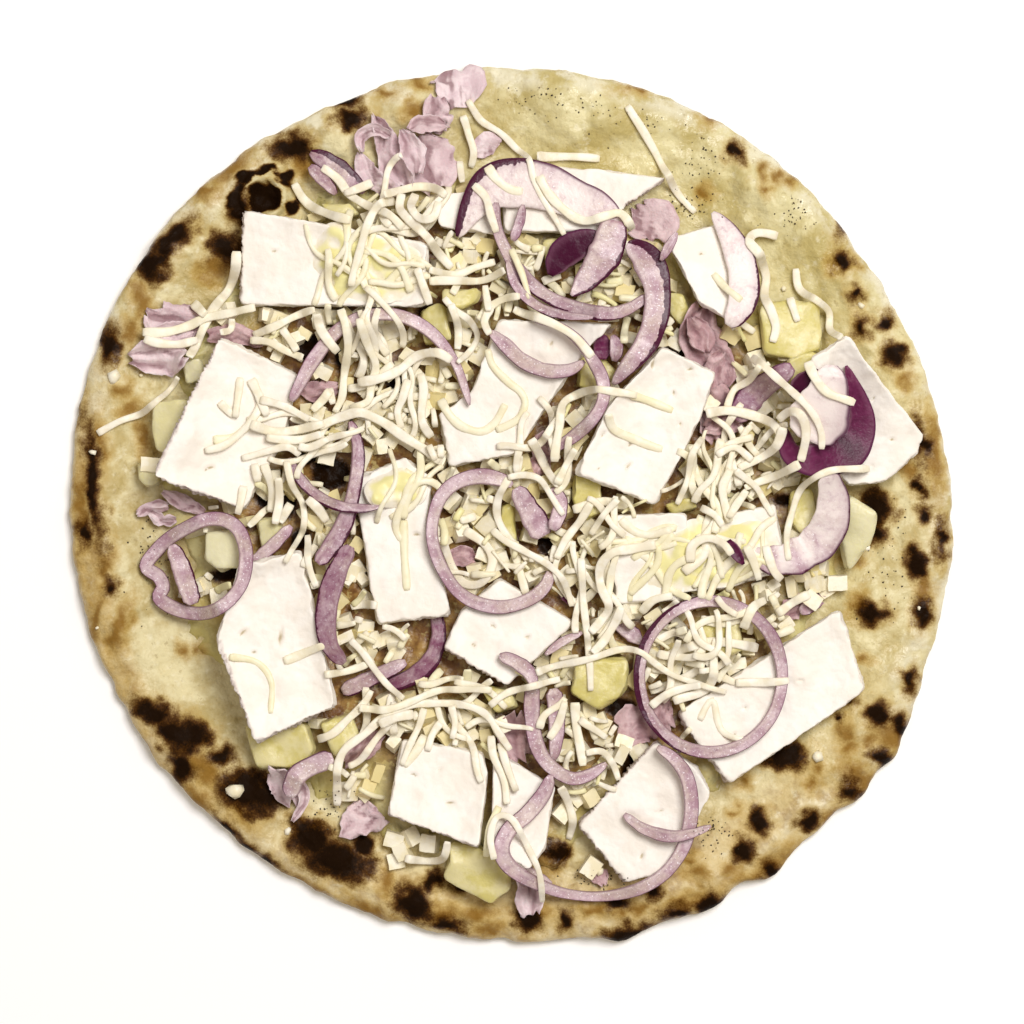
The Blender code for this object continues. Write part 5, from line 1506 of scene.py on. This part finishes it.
def tube_section(sides, roundness):
    """A strand in section, 2 wide and 1 high: an ellipse at a roundness of 1, squarer below it."""
    turn = np.linspace(0, 2 * math.pi, sides, endpoint=False)
    x = np.sign(np.cos(turn)) * np.abs(np.cos(turn)) ** roundness
    z = 0.5 + 0.5 * np.sign(np.sin(turn)) * np.abs(np.sin(turn)) ** roundness
    return np.stack([x, z], axis=1)


def lay_shred(route, sink, melted, draw, share=1.0):
    """One strand, laid over what is there and sunk into it by a depth."""
    count = len(route)
    bends = 0.0003 * np.sin(np.arange(count) * draw.uniform(0.15, 0.35) + draw.uniform(0, 6))
    route = route + sideways(route) * bends[:, None]
    width = SHRED_WIDTH * share * draw.uniform(0.8, 1.15)
    taper = np.clip(0.8 + from_ends(count) / 5, 0, 1) * np.linspace(1, draw.uniform(0.72, 1), count)
    swell = 1 + 0.08 * np.sin(np.arange(count) * draw.uniform(0.3, 0.8) + draw.uniform(0, 6))
    level = bridging(route, 0.6 * width, rounds=4) - GAP - sink
    thick = SHRED_THICK * draw.uniform(0.85, 1.1) * taper
    start = sum(map(len, shred_points))
    section = tube_section(sides=12, roundness=1.0 if melted > 0.25 else 0.55)
    breadth = width * taper * swell
    points, faces = strip_mesh(route, level, breadth, thick, section, closed=False, lean=0, start=start)
    shred_points.append(points)
    shred_faces.extend(faces)
    tint = np.clip(0.2 * draw.random() + melted * draw.uniform(0.5, 1.1), 0, 1)
    shred_tints.append(np.full(len(points), tint))
    stamp_strip(route, 0.8 * width, level + 0.8 * thick)


def lay_shreds(routes, sink, melted, draw):
    """Strands along routes in pixels."""
    for pixels in routes:
        lay_shred(curve_through(pixels, SHRED_STEP), sink, melted, draw)


def wandering(middle, turn, step):
    """A route about a middle that takes one step along each bearing in turn."""
    route = np.cumsum(np.stack([np.cos(turn), np.sin(turn)], axis=1), axis=0) * step
    return middle + route - route.mean(axis=0)


def scattered(heap, draw):
    """The routes of a heap's strands."""
    px, py, spread, count, bearing, melted = heap
    for _ in range(count):
        middle = at(px, py) + draw.uniform(-1, 1, 2) * 0.7 * spread * PIXEL
        run = np.arange(0, draw.uniform(*SHRED_LENGTHS), SHRED_STEP)
        turn = math.radians(bearing + draw.normal(0, 38)) + draw.normal(0, 40) * (run - run[-1] / 2)
        turn = turn + 0.3 * np.sin(run * draw.uniform(200, 360) + draw.uniform(0, 6))
        yield wandering(middle, turn, SHRED_STEP)


draw = np.random.default_rng(31)
lay_shreds(SHREDS_UNDER, LIGHT_SINK, 0.1, draw)
# Short broken bits that fell between the larger pieces
BIT_TRIES = 900
for _ in range(BIT_TRIES):
    bearing = draw.uniform(0, 2 * math.pi)
    reach = 0.93 * around(BED_OUTLINE, [math.degrees(bearing)])[0] * math.sqrt(draw.random())
    place = reach * np.array([math.cos(bearing), math.sin(bearing)])
    run = np.arange(0, draw.uniform(*BIT_LENGTHS), BIT_STEP)
    turn = draw.uniform(0, 2 * math.pi) + draw.normal(0, 60) * run
    if read(free.astype(float), *place) > 0.8:
        route = wandering(place, turn, BIT_STEP)
        lay_shred(route, BIT_SINK, draw.uniform(0, 0.7), draw, draw.uniform(0.4, 0.95))
# The rest of the onion goes on here, over these strands and under the others
draw_onion = np.random.default_rng(71)
for label, strips in ONION.items():
    lay_onion(f"onion_strip_{label}", f"onion_{label}", strips, draw_onion)
lay_shreds(SHREDS_SUNK, DEEP_SINK, 0.4, draw)
for number, corners in enumerate(POOLS, 1):
    outline = rounded(corners, pitch=0.0012, softness=0.4)
    shares = np.linspace(0.04, 1, 26)[:, None, None]
    plan = outline.mean(axis=0) + (outline - outline.mean(axis=0))[None] * shares
    plan = plan * (1 + 0.004 * read(middling, plan[..., 0], plan[..., 1])[..., None])
    base = read(limp(rounds=30), plan[..., 0], plan[..., 1])
    depth = POOL_RISE * np.clip((1 - shares[..., 0]) / 0.5, 0, 1)
    depth = depth * (1 + 0.4 * read(middling, plan[..., 0], plan[..., 1]))
    depth = depth - POOL_DIP * np.clip((shares[..., 0] - 0.6) / 0.4, 0, 1)
    points, faces = disc(np.dstack([plan, base + depth]), np.dstack([plan, base - POOL_FOOT]))
    raise_ground(points)
    fade = np.tile(np.append(1 - np.broadcast_to(shares[..., 0], plan.shape[:2]).ravel(), 1), 2)
    yellow = -0.4 + 1.9 * np.clip(fade * 3, 0, 1) * (0.7 + 0.3 * read(middling, points[:, 0], points[:, 1]))
    piece(f"melted_pool_{number}", points, faces, strand_cheese, "cheese_heap",
          {"tint": np.clip(yellow, -0.5, 1)})
for heap in SHRED_HEAPS:
    melted = heap[-1]
    for route in scattered(heap, draw):
        lay_shred(route, LIGHT_SINK + 0.0011 * melted**2, 0.4 * melted, draw, draw.uniform(0.7, 1.0))
# The dark tip of an onion slice that shows between the strands
ONION_TIP = [([(727, 540), (734, 552), (742, 564)], [8, 12, 6], 0, 1.6, 0)]
lay_onion("onion_tip", "onion_right_arc", ONION_TIP, draw_onion)
lay_shreds(SHREDS, LIGHT_SINK, 0.1, draw)
piece("grated_cheese", np.vstack(shred_points), shred_faces, strand_cheese, "cheese_heap",
      {"tint": np.concatenate(shred_tints)})

# The pepper and crumbs. Coarsely ground black pepper that stuck to the oiled dough in a few patches,
# and crumbs of cheese that fell wide on the rim.

# Patches of pepper, and crumbs: pixel, then half width and half height, or width and height, in pixels
PEPPER = [
    (530, 95, 34, 26), (660, 110, 40, 24), (700, 160, 36, 26), (640, 75, 30, 10), (712, 836, 26, 26),
    (690, 205, 26, 16), (800, 215, 30, 20), (330, 808, 26, 26), (600, 100, 60, 40), (150, 560, 20, 50),
    (770, 140, 40, 30), (892, 565, 24, 50), (600, 880, 30, 12),
]
PEPPER_EACH = 48
# The least and greatest half length of a grain
GRAIN_SIZES = (0.00014, 0.00044)
CRUMBS = [
    (113, 377, 12, 17), (91, 452, 6, 8), (140, 375, 5, 5), (818, 757, 12, 12), (866, 548, 7, 6),
    (862, 305, 8, 7), (287, 832, 6, 9), (785, 288, 7, 6), (235, 792, 15, 20), (96, 628, 4, 3),
    (920, 608, 4, 3), (600, 872, 10, 9),
]
CRUMB_RISE = 4
grain = bmesh.new()
bmesh.ops.create_icosphere(grain, subdivisions=1, radius=1)
grain_points, grain_faces = emptied(grain)
# The height of what lies there, with the gaps of one cell between its points closed
surface = -widened(-widened(ground))


def grains(places, sizes, draw):
    """Rough little grains at places on what lies there, as points and faces."""
    points, faces = [], []
    for place, size in zip(places, sizes):
        rough = grain_points * size * (1 + 0.2 * draw.standard_normal((len(grain_points), 1)))
        rough = turned(rough, 0, 1, draw.uniform(0, math.pi))
        faces += (grain_faces + len(grain_points) * len(points)).tolist()
        points.append(rough + [*place, read(surface, *place) + 0.3 * size[2]])
    return np.vstack(points), faces


draw = np.random.default_rng(91)
places = [at(px, py) + draw.normal(0, 0.5, 2) * [wide * PIXEL, high * PIXEL]
          for px, py, wide, high in PEPPER for _ in range(PEPPER_EACH)]
places = [place for place in places if np.linalg.norm(place) < 0.95 * DOUGH_RADIUS]
sizes = [np.array([1, 0.8, 0.6]) * draw.uniform(*GRAIN_SIZES) for _ in places]
points, faces = grains(places, sizes, draw)
black_pepper, tree, shader = new_material("black pepper", {"Roughness": 0.6})
fill(shader, {"Base Color": clouds(tree, 900.0, (34, 26, 16), (84, 66, 34))})
piece("pepper", points, faces, black_pepper, "crust", {})
places = [at(px, py) for px, py, _, _ in CRUMBS]
sizes = [np.array([wide / 2, high / 2, CRUMB_RISE]) * PIXEL for _, _, wide, high in CRUMBS]
points, faces = grains(places, sizes, draw)
piece("crumbs", points, faces, mild_cheese, "crust", {"tint": np.zeros(len(points))})

# The stage. A plain pale floor, a lamp above to the upper right with a weak one across from it, and
# a camera that looks straight down.
bpy.ops.mesh.primitive_plane_add(size=6, location=(0, 0, -0.0005))
floor = bpy.context.active_object
floor.name = "floor"
pale_floor, tree, shader = new_material("pale floor",
                                        {"Base Color": (0.98, 0.985, 1.0, 1), "Roughness": 0.9})
floor.data.materials.append(pale_floor)


def lamp(name, place, size, power):
    """A round lamp that points at the middle of the pizza."""
    light = bpy.data.lights.new(name, "AREA")
    light.shape, light.size, light.energy = "DISK", size, power
    light.color = (1.0, 0.985, 0.965)
    made = bpy.data.objects.new(name, light)
    made.location = place
    made.rotation_euler = Vector([-v for v in place]).to_track_quat("-Z", "Y").to_euler()
    bpy.context.scene.collection.objects.link(made)


# Each lamp's place and size in metres, and its power in watts
lamp("key", (0.55, 0.60, 1.85), 0.90, 34.5)
lamp("fill", (-0.7, -0.5, 0.9), 0.9, 1.0)
world = bpy.data.worlds.new("studio")
world.use_nodes = True
fill(world.node_tree.nodes["Background"], {"Color": (1.0, 0.88, 0.78, 1), "Strength": 0.38})
bpy.context.scene.world = world
bpy.context.scene.view_settings.view_transform = "Standard"

# The camera frames the picture's square at the level of the toppings
PICTURE_SIDE = 1024
CAMERA_RISE = 1.8
TOPPING_LEVEL = 0.013
lens = bpy.data.cameras.new("camera")
lens.sensor_width = 36
lens.lens = lens.sensor_width * CAMERA_RISE / (PICTURE_SIDE * PIXEL)
lens.clip_start = 0.01
camera = bpy.data.objects.new("camera", lens)
camera.location = (0, (MIDDLE[1] - PICTURE_SIDE / 2) * PIXEL, TOPPING_LEVEL + CAMERA_RISE)
bpy.context.scene.collection.objects.link(camera)
bpy.context.scene.camera = camera
